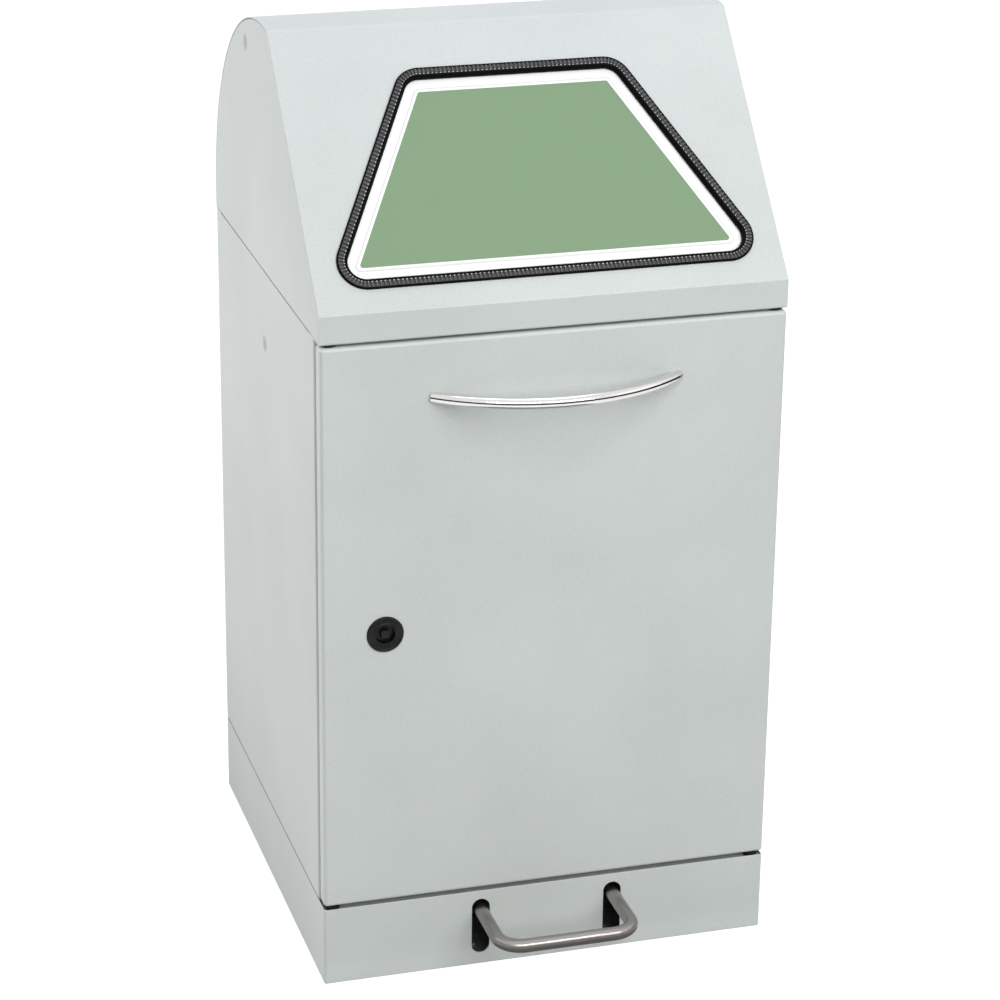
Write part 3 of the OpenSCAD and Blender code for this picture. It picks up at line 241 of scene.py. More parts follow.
def end_group(group, **outputs):
    """Gives a group its outputs: a colour, and plain values."""
    end = group.nodes.new("NodeGroupOutput")
    for label, source in outputs.items():
        kind = "NodeSocketColor" if label == "Colour" else "NodeSocketFloat"
        group.interface.new_socket(label, in_out="OUTPUT", socket_type=kind)
        group.links.new(source, end.inputs[label])
    return group


def scaled_colour(tree, colour, factor):
    """A colour times a factor."""
    return add_node(tree, "VectorMath", [(colour, 0), (factor, "Scale")], operation="SCALE").outputs[0]


def swung_colour(tree, colour, factor, middle, contrast):
    """A colour times one plus the contrast times the factor's distance from its middle."""
    swing = calculate(tree, "MULTIPLY_ADD", calculate(tree, "SUBTRACT", factor, middle), contrast, 1.0)
    return scaled_colour(tree, colour, swing)


def make_mottle():
    """Group: a colour made lighter and darker by two sizes of noise; the grain also comes out as a height."""
    group, given = new_group("mottle", Colour="Color", Grain="Float", Cloud="Float", Contrast="Float")
    place = add_node(group, "TexCoord").outputs["Object"]
    grain, cloud = (
        add_node(group, "TexNoise", [(place, "Vector"), (given[size], "Scale"), (detail, "Detail")]).outputs["Fac"]
        for size, detail in (("Grain", 2.0), ("Cloud", 3.0))
    )
    shade = swung_colour(group, given["Colour"], calculate(group, "ADD", grain, cloud), 1.0, given["Contrast"])
    return end_group(group, Colour=shade, Height=grain)


mottle = make_mottle()


def put_group(material, group, depth, **inputs):
    """Puts a group with these inputs on a material: its colour on the shader's colour, its roughness on the shader's
    roughness if it gives one, and its height on a bump of the given depth. Returns the group's outputs."""
    tree = material.node_tree
    shader = tree.nodes["Principled BSDF"].inputs
    given = add_node(tree, "Group", [(value, key) for key, value in inputs.items()], node_tree=group).outputs
    tree.links.new(given["Colour"], shader["Base Color"])
    if "Roughness" in given:
        tree.links.new(given["Roughness"], shader["Roughness"])
    if depth:
        bump = add_node(tree, "Bump", [(given["Height"], "Height"), (1.0, "Strength"), (depth, "Distance")])
        tree.links.new(bump.outputs["Normal"], shader["Normal"])
    return given


def mottled(name, colour, grain, cloud, contrast, depth, roughness, **sockets):
    """A material with the mottle on its colour, the grain on a bump of the given depth, and a roughness that swings
    with the grain between two values. Grain and cloud say how fine the two noises are."""
    material = new_material(name, **sockets)
    given = put_group(material, mottle, depth, Colour=(*colour, 1), Grain=grain, Cloud=cloud, Contrast=contrast)
    tree = material.node_tree
    tree.links.new(spread(tree, given["Height"], *roughness), tree.nodes["Principled BSDF"].inputs["Roughness"])
    return material


grey_coat = mottled("light_grey_powder_coat", (0.575, 0.612, 0.592), 700.0, 7.0, 0.2, 0.00014, (0.36, 0.5), IOR=1.5)


def make_dimple_shade():
    """Group: painted shade, a colour made darker inside a round spot with a soft edge, standing in for the shade of a
    shallow dimple round a rivet, at a place on either side of the cabinet. The spot fades evenly from three fifths of
    its radius to its rim; the distance is taken in depth and height."""
    group, given = new_group("rivet_dimple_shade", Colour="Color", Middle="Vector", Radius="Float", Shade="Float")
    place = add_node(group, "TexCoord").outputs["Object"]
    away = calculate(group, "SUBTRACT", place, given["Middle"], kind="VectorMath")
    away = calculate(group, "MULTIPLY", away, (0.0, 1.0, 1.0), kind="VectorMath")
    distance = add_node(group, "VectorMath", [(away, 0)], operation="LENGTH").outputs["Value"]
    start = calculate(group, "MULTIPLY", given["Radius"], 0.6)
    level = add_node(
        group, "MapRange",
        [(distance, "Value"), (start, "From Min"), (given["Radius"], "From Max"), (given["Shade"], "To Min")],
    )
    return end_group(group, Colour=scaled_colour(group, given["Colour"], level.outputs["Result"]))


rivet_dimple_shade = make_dimple_shade()


def coat_with_dimple_shade(name, y, z):
    """The grey coat with a round spot of painted shade, standing in for the shade of the shallow dimple round a rivet.
    """
    material = grey_coat.copy()
    material.name = name
    colour = material.node_tree.nodes["Principled BSDF"].inputs["Base Color"].links[0].from_socket
    put_group(material, rivet_dimple_shade, 0.0, Colour=colour, Middle=(0.0, y, z), Radius=9.0 * MM, Shade=0.66)
    return material


# The plinth: a folded sheet frame, open below, with a ledge at the top, a flange at the bottom
# and two slots in its front for the pedal's legs. Its bends are rounded and its edges eased.
def bent_path(corners, radii, steps=5):
    """A polyline (n, 2) whose corners are replaced by arcs. A corner of radius r that turns by an angle a starts
    r*tan(a/2) before the corner, and its points lie at r from the arc's centre. Returns points and left normals."""
    corners = np.asarray(corners, float)
    ways = np.diff(corners, axis=0)
    ways /= np.linalg.norm(ways, axis=1)[:, None]
    lefts = np.stack([-ways[:, 1], ways[:, 0]], 1)
    points, normals = [corners[:1]], [lefts[:1]]
    for corner, radius, way, left, next_way, next_left in zip(corners[1:], radii, ways, lefts, ways[1:], lefts[1:]):
        turn = math.atan2(next_way @ left, next_way @ way)
        if radius and abs(turn) > 1e-3:
            angles = np.linspace(0, turn, steps + 1)[:, None]
            spun = left * np.cos(angles) - way * np.sin(angles)
            start = corner - way * radius * math.tan(abs(turn) / 2)
            points.append(start + math.copysign(radius, turn) * (left - spun))
            normals.append(spun)
        else:
            points.append(corner[None])
            normals.append(((left + next_left) / np.linalg.norm(left + next_left))[None])
    points.append(corners[-1:])
    normals.append(lefts[-1:])
    return np.concatenate(points), np.concatenate(normals)


def rectangle_loops(section, axis, low, high, corner, least, steps=5):
    """Rectangles (rows, n, 3) across the axis 1 or 2, one per point (inset, place) of a section, drawn in by the inset.
    The radius of the round corners shrinks by the inset too, down to the least one."""
    loops = []
    for inset, place in section:
        radius = max(corner - inset, least)
        (x0, y0), (x1, y1) = np.add(low, inset + radius), np.subtract(high, inset + radius)
        centres = ((x1, y1), (x0, y1), (x0, y0), (x1, y0))
        arcs = [arc_points(c, radius, 90 * k, 90 * k + 90, steps + 1) for k, c in enumerate(centres)]
        loops.append(np.insert(np.concatenate(arcs), axis, place, axis=1))
    return np.array(loops)


def close_piece(name, points, faces, *materials):
    """A closed piece, its faces turned over if its signed volume shows that they look inwards."""
    piece = fill_mesh(name, points, faces, *materials)
    mesh = piece.data
    mesh.calc_loop_triangles()
    index = np.empty(len(mesh.loop_triangles) * 3, np.int32)
    mesh.loop_triangles.foreach_get("vertices", index)
    corners = np.reshape(points, (-1, 3))
    a, b, c = (corners - corners.mean(0))[index.reshape(-1, 3).T]
    if np.einsum("ij,ij->i", a, np.cross(b, c)).sum() < 0:
        mesh.flip_normals()
    return piece


def join_loops(name, loops, *materials):
    """A closed piece through closed outlines (n, 3), one after the other, the first and the last filled flat."""
    rows, columns = len(loops), len(loops[0])
    first = np.arange(columns)
    faces = grid_quads(rows, columns, False, True).tolist()
    faces += [first[::-1].tolist(), (first + (rows - 1) * columns).tolist()]
    return close_piece(name, np.array(loops), faces, *materials)


def add_modifier(piece, name, kind, **settings):
    """A modifier with its settings."""
    modifier = piece.modifiers.new(name, kind)
    for key, value in settings.items():
        setattr(modifier, key, value)


def cut_away(piece, outline, axis, first, last):
    """Takes a straight bar out of a piece: an outline (n, 2), carried along the axis from a first to a last place."""
    cutter = join_loops("cutter", [np.insert(outline, axis, place, axis=1) for place in (first, last)])
    add_modifier(piece, "cut", "BOOLEAN", operation="DIFFERENCE", solver="EXACT", object=cutter)
    bpy.context.view_layer.objects.active = piece
    bpy.ops.object.modifier_apply(modifier="cut")
    bpy.data.objects.remove(cutter)


def finish_piece(piece, body, node_names, smooth_angle=32.0, weighted=True):
    """Shades a piece smooth up to an angle, rides it on its body and lets it stand for its nodes."""
    mesh = piece.data
    mesh.polygons.foreach_set("use_smooth", np.ones(len(mesh.polygons), bool))
    mesh.set_sharp_from_angle(angle=math.radians(smooth_angle))
    if weighted:
        add_modifier(piece, "even_normals", "WEIGHTED_NORMAL", keep_sharp=True, weight=100)
    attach(piece, body)
    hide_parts(*node_names)


def fold_plinth():
    """Rectangles with round corners, one per point (inset, height) of the sheet's section: up the wall's outer side,
    over the groove and the ledge, back under them and down. The groove parts wall and body by a shadow line."""
    low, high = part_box("plinth_frame")
    sheet, bend, flange, top = 1.5 * MM, 1.3 * MM, 15 * MM, high[2]
    wall, _ = bent_path([(flange, 0), (0, 0), (0, top), (1.0 * MM, top)], [bend, 0.4 * MM])
    ledge = [(0.7, 0), (0.8, -3), (16, -3), (16.1, 0), (30, 0), (30, -1.5), (17.3, -1.5), (17.3, -4), (1.5, -4)]
    section = [*wall[:-1], *(np.array(ledge) * MM + (0, top)), (sheet, sheet), (flange, sheet)]
    loops = rectangle_loops(section, 2, low.xy, high.xy, 2.4 * MM, 0.6 * MM)
    # At the front, the bottom flange reaches 30 mm further back.
    y, z = loops[..., 1], loops[..., 2]
    front_flange = (z < sheet + 0.1 * MM) & (y > low[1] + 12 * MM) & (y < low[1] + 20 * MM)
    loops[front_flange, 1] += 30 * MM
    plinth = close_piece("plinth", loops, grid_quads(*loops.shape[:2], True, True)[:, ::-1], grey_coat)
    # Each slot is two half circles joined by straight sides.
    slot_low, slot_high, slot_radius = 11 * MM, 64 * MM, 8.1 * MM
    for x in (-60 * MM, 60 * MM):
        upper = arc_points((x, slot_high - slot_radius), slot_radius, 0, 180, 25)
        lower = arc_points((x, slot_low + slot_radius), slot_radius, 180, 360, 25)
        cut_away(plinth, np.concatenate([upper, lower]), 1, low[1] - 2 * MM, low[1] + 3 * MM)
    finish_piece(plinth, "cabinet", ["plinth_frame"])


fold_plinth()


# The body: sides and back folded from one sheet, with a flange on each side of the door opening.
# A second, narrow flange at its top carries the hood. A rivet shows through the coat on each side.
def sheet_faces(pattern_faces, count):
    """Faces of a sheet with two sides: the outer side, the inner side turned round and offset by count, and the rim.
    The rim runs along every edge that only one face of the pattern has."""
    outer = [list(f) for f in pattern_faces]
    inner = [[i + count for i in reversed(f)] for f in outer]
    edges = dict.fromkeys((a, b) for face in outer for a, b in zip(face, face[1:] + face[:1]))
    rim = [[b, a, a + count, b + count] for (a, b) in edges if (b, a) not in edges]
    return outer + inner + rim


rivet_hole = 3.52 * MM
body_rivet = (3 * MM, 518 * MM)
# The body's sides carry a round spot of painted shade round each rivet, as the shade of a shallow dimple.
body_coat = coat_with_dimple_shade("body_powder_coat", *body_rivet)
body_low, body_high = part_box("cabinet_shell")
body_sheet = 1.2 * MM


def fold_body():
    """A plan outline of flange, side, back, side and flange, carried from the plinth to just under the hood, with a
    second side set back along its normals. Returns the outline and its normals."""
    bend, flange = 2.6 * MM, 15 * MM
    (x0, y0), (x1, y1) = body_low.xy, body_high.xy
    outline = [(x0 + flange, y0), (x0, y0), (x0, y1), (x1, y1), (x1, y0), (x1 - flange, y0)]
    plan, outward = bent_path(outline, [bend] * 4, 8)
    levels = (body_low[2] + 2.4 * MM, body_high[2] - body_sheet)
    sides = [np.insert(plan - depth * outward, 2, z, axis=1) for depth in (0.0, body_sheet) for z in levels]
    faces = sheet_faces(grid_quads(2, len(plan)).tolist(), 2 * len(plan))
    shell = close_piece("body_walls", np.array(sides), faces, body_coat)
    for x in (-x1, x1):
        cut_away(shell, arc_points(body_rivet, rivet_hole, 0, 351, 40), 0, x - 5 * MM, x + 5 * MM)
    finish_piece(shell, "cabinet", ["cabinet_shell"])
    return plan, outward


body_plan, body_outward = fold_body()


def carry_section(name, loops, *materials):
    """A closed piece from a closed section: each of its points (rows) is carried along an open line (columns), and the
    two ends are filled flat."""
    rows, columns = loops.shape[:2]
    first = np.arange(rows) * columns
    faces = grid_quads(rows, columns, True, False).tolist()
    faces += [first.tolist(), (first + columns - 1)[::-1].tolist()]
    return close_piece(name, loops, faces, *materials)


def turn_in_foot():
    """The walls' lower edge, turned in to a small lip so that a shadow line parts it from the plinth: the plan outline
    drawn in along its normals, once per point (inset, height) of a closed section."""
    bend, foot = 0.6 * MM, body_low[2] + 1.8 * MM
    inside = np.array([(2.5, 0), (2.5, 1.2), (1.9, 1.2), (0.7, 1.2)]) * MM + (0, foot)
    section = [*arc_points((bend, foot + bend), bend, 180, 270, 7), *inside]
    loops = np.array([np.insert(body_plan - inset * body_outward, 2, z, axis=1) for inset, z in section])
    finish_piece(carry_section("body_foot", loops, grey_coat), "cabinet", ["cabinet_shell"])


turn_in_foot()


def roll_body_top():
    """The top bend and flange: U-shaped plan outlines, one per point (inset, height) of a closed section."""
    bend, top = 0.6 * MM, body_high[2]
    flange = np.array([(2.4, -0.4), (3.0, -0.05), (13.2, -0.05), (13.2, -1.2), (1.2, -1.2)]) * MM + (0, top)
    corner = arc_points((bend, top - 0.4 * MM - bend), bend, 180, 90, 6)
    loops = []
    for inset, level in [(0.0, top - body_sheet), *corner, *flange]:
        x, back_y, front_y = body_high[0] - inset, body_high[1] - inset, body_low[1]
        radius = max(2.6 * MM - inset, 0.3 * MM)
        loop, _ = bent_path([(-x, front_y), (-x, back_y), (x, back_y), (x, front_y)], [radius, radius], 8)
        loops.append(np.insert(loop, 2, level, axis=1))
    strip = carry_section("body_top_flange", np.array(loops), grey_coat)
    finish_piece(strip, "cabinet", ["cabinet_shell"])


roll_body_top()


# The hood: one sheet bent into front flange, upright front, slope, round back and rear flange.
# The slope has the opening, and two flat plates close the sides, set inside the bent sheet.
def round_corners(centres, radius, steps):
    """A closed outline (n, 2) of arcs of one radius about the given centres, joined by straight lines. Each arc runs
    from the normal of the edge before its centre to that of the edge after it. Returns points and outward normals."""
    edges = np.roll(centres, -1, 0) - centres
    angle = np.arctan2(-edges[:, 0], edges[:, 1])
    first = np.roll(angle, 1)
    angles = first[:, None] + ((angle - first) % (2 * math.pi))[:, None] * np.linspace(0, 1, steps + 1)
    way = np.stack([np.cos(angles), np.sin(angles)], -1)
    return (centres[:, None] + radius * way).reshape(-1, 2), way.reshape(-1, 2)


def length_along(points):
    """The length along a line of points, from 0 at its first."""
    return np.concatenate([[0], np.cumsum(np.linalg.norm(np.diff(points, axis=0), axis=1))])


opening_centres = np.array([(154.0, -216.4), (80.0, -67.5), (-80.0, -67.5), (-154.0, -216.4)]) * MM
opening_radius = 24 * MM
hood_low, hood_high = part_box("hood_shell")
hood_sheet = 1.2 * MM
fold_y, dome_z, dome_radius = -22 * MM, 600 * MM, 200 * MM
fold_z = dome_z + math.sqrt(dome_radius**2 - fold_y**2)
front_top = 608 * MM
slope_angle = math.atan2(fold_z - front_top, fold_y - hood_low[1])
slope_cos, slope_sin = math.cos(slope_angle), math.sin(slope_angle)


def on_slope(x, y, z):
    """Points given across the hood, up the slope from its upper fold, and out of its surface, put into space."""
    return np.stack([x, fold_y + y * slope_cos - z * slope_sin, fold_z + y * slope_sin + z * slope_cos], -1)


def outside_hole(triangles, hole):
    """Which triangles (n, 3, 2) lie outside a closed outline: a line from the triangle's middle, along the first
    coordinate, crosses the outline an even number of times."""
    middle = triangles.mean(1)[:, None]
    a, b = hole, np.roll(hole, -1, 0)
    crosses = (a[:, 1] > middle[..., 1]) != (b[:, 1] > middle[..., 1])
    share = (middle[..., 1] - a[:, 1]) / np.where(crosses, b[:, 1] - a[:, 1], 1)
    return (crosses & (middle[..., 0] < a[:, 0] + share * (b[:, 0] - a[:, 0]))).sum(1) % 2 == 0


def bend_hood():
    """The hood's flat blank, meshed with the opening left out, then laid on the bent profile: the blank's length is the
    arc length along the profile, and its second side is set back by the sheet's thickness."""
    bend, upper_bend, columns = 2.2 * MM, 8 * MM, 9
    dome = arc_points((0, dome_z), dome_radius, 90, 0, 37)
    y0, y1, z0 = hood_low[1], hood_high[1], hood_low[2]
    outline = [(y0 + 35 * MM, z0), (y0, z0), (y0, front_top), (fold_y, fold_z), *dome, (y1, z0), (y1 - 20 * MM, z0)]
    points, normals = bent_path(outline, [bend, bend, upper_bend] + [0] * len(dome) + [bend], 6)
    length = length_along(points)

    # The slope is the row of the blank that starts at the last point of the bend at its foot.
    foot = (points[:, 1] > front_top) & (np.linalg.norm(points - (y0, front_top), axis=1) < 6 * MM)
    slope = int(np.flatnonzero(foot)[-1])
    slope_zero = length[slope] - (points[slope] - (fold_y, fold_z)) @ (slope_cos, slope_sin)
    across = np.linspace(-hood_high[0], hood_high[0], columns)
    grid = np.stack(np.meshgrid(length, across, indexing="ij"), -1).reshape(-1, 2)
    quads = grid_quads(len(length), columns)[:, [0, 3, 2, 1]].reshape(-1, columns - 1, 4)
    faces = np.delete(quads, slope, axis=0).reshape(-1, 4).tolist()

    # That row is filled with triangles between its border and the opening.
    numbers = np.arange(len(grid)).reshape(-1, columns)
    border = np.concatenate([numbers[slope], numbers[slope + 1][::-1]])
    hole = round_corners(opening_centres, opening_radius - 6.5 * MM, 12)[0][:, ::-1] + (slope_zero, 0)
    flat = np.concatenate([grid[border], hole])
    n, m = len(border), len(hole)
    loop_edges = [(i, (i + 1) % n) for i in range(n)] + [(n + i, n + (i + 1) % m) for i in range(m)]
    triangles = np.array(delaunay_2d_cdt([Vector(p) for p in flat], loop_edges, [], 0, 1e-7)[2])
    triangles = triangles[outside_hole(flat[triangles], hole)]
    faces += np.concatenate([border, len(grid) + np.arange(m)])[triangles].tolist()

    blank = np.concatenate([grid, hole])
    sides = []
    for depth in (0.0, hood_sheet):
        y, z = (np.interp(blank[:, 0], length, line) for line in (points - depth * normals).T)
        sides.append(np.column_stack([blank[:, 1], y, z]))
    piece = close_piece("hood_sheet", np.concatenate(sides), sheet_faces(faces, len(blank)), grey_coat)
    finish_piece(piece, "cabinet", ["hood_shell"])


bend_hood()


def drawn_in(points, inset):
    """A closed outline (n, 2), counter-clockwise, moved inwards by inset: each corner goes along the sum of its two
    edges' normals, divided by one plus their product, so that both edges end at the same distance."""
    way = np.roll(points, -1, 0) - points
    way /= np.linalg.norm(way, axis=1)[:, None]
    inward = np.stack([-way[:, 1], way[:, 0]], 1)
    before = np.roll(inward, 1, 0)
    return points + inset * (inward + before) / (1 + np.einsum("ij,ij->i", inward, before))[:, None]


hood_rivet = (63 * MM, 769 * MM)
# The hood's sides carry the same round spot of painted shade round their rivet.
hood_side_coat = coat_with_dimple_shade("hood_side_powder_coat", *hood_rivet)


def fold_hood_side(name, side):
    """The hood's outline in depth and height, one loop per step of the rounded rim, from the outer face to the inner
    one. The lower edge is bent in, so it is drawn up further than the others. A plain strip is the flange."""
    gap, ease, bend, open_by = 1.7 * MM, 0.3 * MM, 0.4 * MM, 1.4 * MM
    y0, y1, foot = hood_low[1], hood_high[1], hood_low[2] - gap + open_by
    dome = arc_points((0, dome_z), dome_radius, 0, 90, 31)
    outline = np.array([(y0, foot), (y1, foot), *dome, (fold_y, fold_z), (y0, front_top)])
    turn = np.radians(np.linspace(0, 90, 6))
    rim = np.stack([ease * (1 - np.sin(turn)), bend * (1 - np.sin(turn)), 0.9 * MM * (1 - np.cos(turn))], 1)
    loops = []
    for inset, lift, depth in [*rim, (0.0, 0.0, hood_sheet)]:
        loop = drawn_in(outline, gap + inset)
        loop[:2, 1] += lift - inset
        loops.append(np.insert(loop, 0, side * (hood_high[0] - depth), axis=1))
    plate = join_loops(name + "_sheet", loops, hood_side_coat)
    x = side * hood_high[0]
    cut_away(plate, arc_points(hood_rivet, rivet_hole, 0, 351, 40), 0, x - 5 * MM, x + 5 * MM)
    finish_piece(plate, "cabinet", [name])
    edge = hood_high[0] - hood_sheet
    x0, x1 = sorted([side * edge, side * (edge - 12 * MM)])
    y0, y1 = y0 + 35.05 * MM, y1 - 20.05 * MM
    strip = [(x0, y0), (x1, y0), (x1, y1), (x0, y1)]
    levels = (hood_low[2] + 0.02 * MM, hood_low[2] + hood_sheet)
    flange = join_loops(name + "_flange", [np.insert(strip, 2, z, axis=1) for z in levels], grey_coat)
    finish_piece(flange, "cabinet", [name])


fold_hood_side("hood_side_left", -1)
fold_hood_side("hood_side_right", 1)


def set_side_rivets():
    """Rivets painted over with the sheet: a slightly hollow head, flush with the side, in a hairline ring. A profile
    (radius, depth) is turned about a line along X, and its two ends, close to the line, are filled flat."""
    (low_x, _, _), (high_x, _, _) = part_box("side_rivets")
    head = [(0.4, 0.1), (1.6, 0.08), (2.6, 0.02), (3, 0), (3.3, 0.06), (3.46, 0.3), (3.46, 1.2), (3.4, 2.4), (0.4, 2.4)]
    radius, depth = np.transpose(head) * MM
    angles = np.linspace(0, 2 * math.pi, 48, endpoint=False)[:, None]
    for side, edge in ((-1, low_x), (1, high_x)):
        turned = np.stack([-side * depth + 0 * angles, radius * np.cos(angles), radius * np.sin(angles)], -1)
        for label, place, coat in (("body", body_rivet, body_coat), ("hood", hood_rivet, hood_side_coat)):
            name = "side_rivet_%s_%s" % (label, "left" if side < 0 else "right")
            rivet = carry_section(name, turned + (edge, *place), coat)
            finish_piece(rivet, "cabinet", ["side_rivets"])


set_side_rivets()


# Coated pieces inside the cabinet: the tray that is its floor, the rail over the door and the door's stiffener.
# They are folded from the same sheet and coated like the rest, and are seen only with the door open.
def ease_edges(names, width, material):
    """Keeps these solids and dresses them: doubles welded, flat faces joined, every sharp edge rounded finely."""
    for name in names:
        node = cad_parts[name]
        node.data.materials.clear()
        node.data.materials.append(material)
        node.data.polygons.foreach_set("use_smooth", np.ones(len(node.data.polygons), bool))
        add_modifier(node, "weld", "WELD", merge_threshold=0.005 * MM)
        add_modifier(node, "join", "DECIMATE", decimate_type="DISSOLVE", angle_limit=math.radians(0.5))
        sharp = math.radians(35)
        add_modifier(node, "bevel", "BEVEL", limit_method="ANGLE", angle_limit=sharp, width=width * MM, segments=2)
        add_modifier(node, "even_normals", "WEIGHTED_NORMAL", weight=100)


ease_edges(["floor_panel", "front_rail", "door_stiffener"], 0.25, grey_coat)


# The edge trim: black rubber pushed on the edge of the opening, its outer face toothed across, with a row of
# shiny dashes where the steel clips inside it show, and a smooth lip towards the flap.
black_rubber = mottled(
    "black_rubber", (0.003, 0.003, 0.0033), 1800.0, 12.0, 0.5, 0.00008, (0.42, 0.6), Specular_IOR_Level=0.05
)
# The toothed band's two rubbers are the trim's black rubber painted lighter, as painted highlight of the light the
# teeth catch: lightest on the ridges, less in the hollows, which are painted darker as their shade.
ridge_highlight_rubber = mottled(
    "ridge_highlight_rubber", (0.095, 0.095, 0.1), 1500.0, 60.0, 0.9, 0.00015, (0.3, 0.5), Specular_IOR_Level=0.4
)
hollow_shade_rubber = mottled(
    "hollow_shade_rubber", (0.05, 0.05, 0.052), 1500.0, 60.0, 0.9, 0.00015, (0.4, 0.6), Specular_IOR_Level=0.3
)
bright_dash = mottled("dash_steel", (0.46, 0.46, 0.47), 900.0, 60.0, 0.9, 0.0, (0.3, 0.5), Metallic=0.5)


def press_trim():
    """The trim's section (inset, height) carried round the opening. Four stations make one pitch: two on a ridge, two
    in a hollow. The ridges stand on the outer band; further in, short steel tongues show between them and the lip."""
    pitch = 3.6 * MM
    line, outward = (np.concatenate([a, a[:1]]) for a in round_corners(opening_centres, opening_radius, 40))
    length = length_along(line)
    teeth = int(round(length[-1] / pitch))
    steps = (np.arange(teeth)[:, None] + (0.0, 0.32, 0.42, 0.9)).ravel() / teeth * length[-1]
    edge, out = (np.stack([np.interp(steps, length, a) for a in pair.T], 1) for pair in (line, outward))
    out /= np.linalg.norm(out, axis=1)[:, None]
    section = np.array(
        [
            (0.02, 0.02), (0.0, 1.2), (0.3, 2.0), (0.8, 2.35), (1.2, 2.4), (1.35, 2.2), (1.5, 2.45), (3.2, 2.6),
            (5.3, 2.5), (5.45, 2.15), (5.6, 2.3), (6.5, 2.3), (6.65, 2.1), (6.9, 2.35), (7.3, 2.35), (7.8, 2.15),
            (8.3, 1.8), (8.8, 1.3), (9.2, 0.7), (9.5, 0.0), (9.66, -0.9), (9.68, -2.1), (9.2, -2.68), (2.1, -2.68),
            (1.55, -2.2), (1.55, -1.22), (6.74, -1.22), (6.74, 0.02),
        ]
    )
    # How far the hollows lie below the ridges, on the toothed band and on the row of dashes.
    drop = np.zeros(len(section))
    drop[6:9] = 0.9
    drop[10:12] = 0.5
    in_hollow = np.tile([0.0, 0.0, 1.0, 1.0], teeth)[:, None]
    inset = section[:, 0] * MM
    height = (section[:, 1] - drop * in_hollow) * MM
    x, y = edge[:, :1] - out[:, :1] * inset, edge[:, 1:] - out[:, 1:] * inset
    faces = grid_quads(len(steps), len(section), True, True)
    trim = close_piece(
        "edge_trim", on_slope(x, y, height), faces, black_rubber, ridge_highlight_rubber, bright_dash, hollow_shade_rubber
    )
    smooth, ridge, dash, hollow = range(4)
    station, column = np.divmod(np.arange(len(faces)), len(section))
    on_ridge = station % 4 == 0
    # Painted light: ridge stations get the lighter rubber as painted highlight, hollow stations the darker one as
    # painted shade.
    index = np.where((column == 6) | (column == 7), np.where(on_ridge, ridge, hollow), smooth)
    index = np.where(column == 10, np.where(on_ridge, dash, hollow), index)
    trim.data.polygons.foreach_set("material_index", index.astype(np.int32))
    finish_piece(trim, "cabinet", ["opening_trim"], 40, False)


press_trim()


# The flap: a white pan behind the opening, its edge folded back, and on it a white plate with the coloured field.
# It hangs on two arms and swings in and down.
white_coat = mottled("white_coat", (0.92, 0.92, 0.925), 1200.0, 8.0, 0.02, 0.00005, (0.28, 0.36), IOR=1.5)
white_plate_coat = mottled("white_plate", (0.95, 0.95, 0.955), 1500.0, 8.0, 0.02, 0.00002, (0.22, 0.3), IOR=1.5)
green_print = mottled("green_field_print", (0.195, 0.304, 0.175), 1600.0, 9.0, 0.05, 0.00002, (0.34, 0.42), IOR=1.5)
# The white plate's edge is painted grey: a painted shadow line round the plate.
painted_shadow_edge = mottled("plate_edge_painted_shadow", (0.7, 0.71, 0.7), 1500.0, 8.0, 0.05, 0.0, (0.4, 0.5), IOR=1.5)


def join_trapezoids(name, centres, section, steps, *materials):
    """Outlines round the given corner centres, one per (corner radius, height) in millimetres, joined on the slope."""
    outlines = [(round_corners(centres, radius * MM, steps)[0], height * MM) for radius, height in section]
    return join_loops(name, [on_slope(*outline.T, height) for outline, height in outlines], *materials)


def press_pan():
    """The pan's section, from the front over the rounded edge and the fold back to the inner side."""
    front, back_edge, sheet, outer, middle = -3.1, -13.1, 1.2, 22.0, 6.0
    bend = (outer - 2.2, front - 2.2)
    section = [
        (middle, front), *arc_points(bend, 2.2, 90, 0, 6), (outer, back_edge),
        (outer - sheet, back_edge), *arc_points(bend, 2.2 - sheet, 0, 90, 6), (middle, front - sheet),
    ]
    pan = join_trapezoids("flap_pan", opening_centres, section, 10, white_coat)
    finish_piece(pan, "flap", ["flap_panel"])


press_pan()


def lay_plate(name, inset, low, high, radius, ease, slot, node, *materials):
    """A flat plate: the opening's trapezoid with small round corners, drawn in by inset, with a sloping edge. With two
    materials the second one is the edge's, a painted shadow line. Lengths are in millimetres."""
    centres = drawn_in(opening_centres, (inset + radius) * MM - opening_radius)
    section = [(radius, low), (radius, low + 0.4 * (high - low)), (radius - ease, high)]
    plate = join_trapezoids(name, centres, section, 8, *materials)
    index = np.zeros(len(plate.data.polygons), np.int32)
    index[:-2] = len(materials) - 1
    plate.data.polygons.foreach_set("material_index", index)
    finish_piece(plate, "flap", [node])


lay_plate("flap_sign", 17.4, -3.08, -2.6, 4.5, 1.1, "white_coat", "flap_plate", white_plate_coat, painted_shadow_edge)
lay_plate("flap_field_print", 20.7, -2.6, -2.4, 2.4, 0.1, "green_field", "flap_field", green_print)


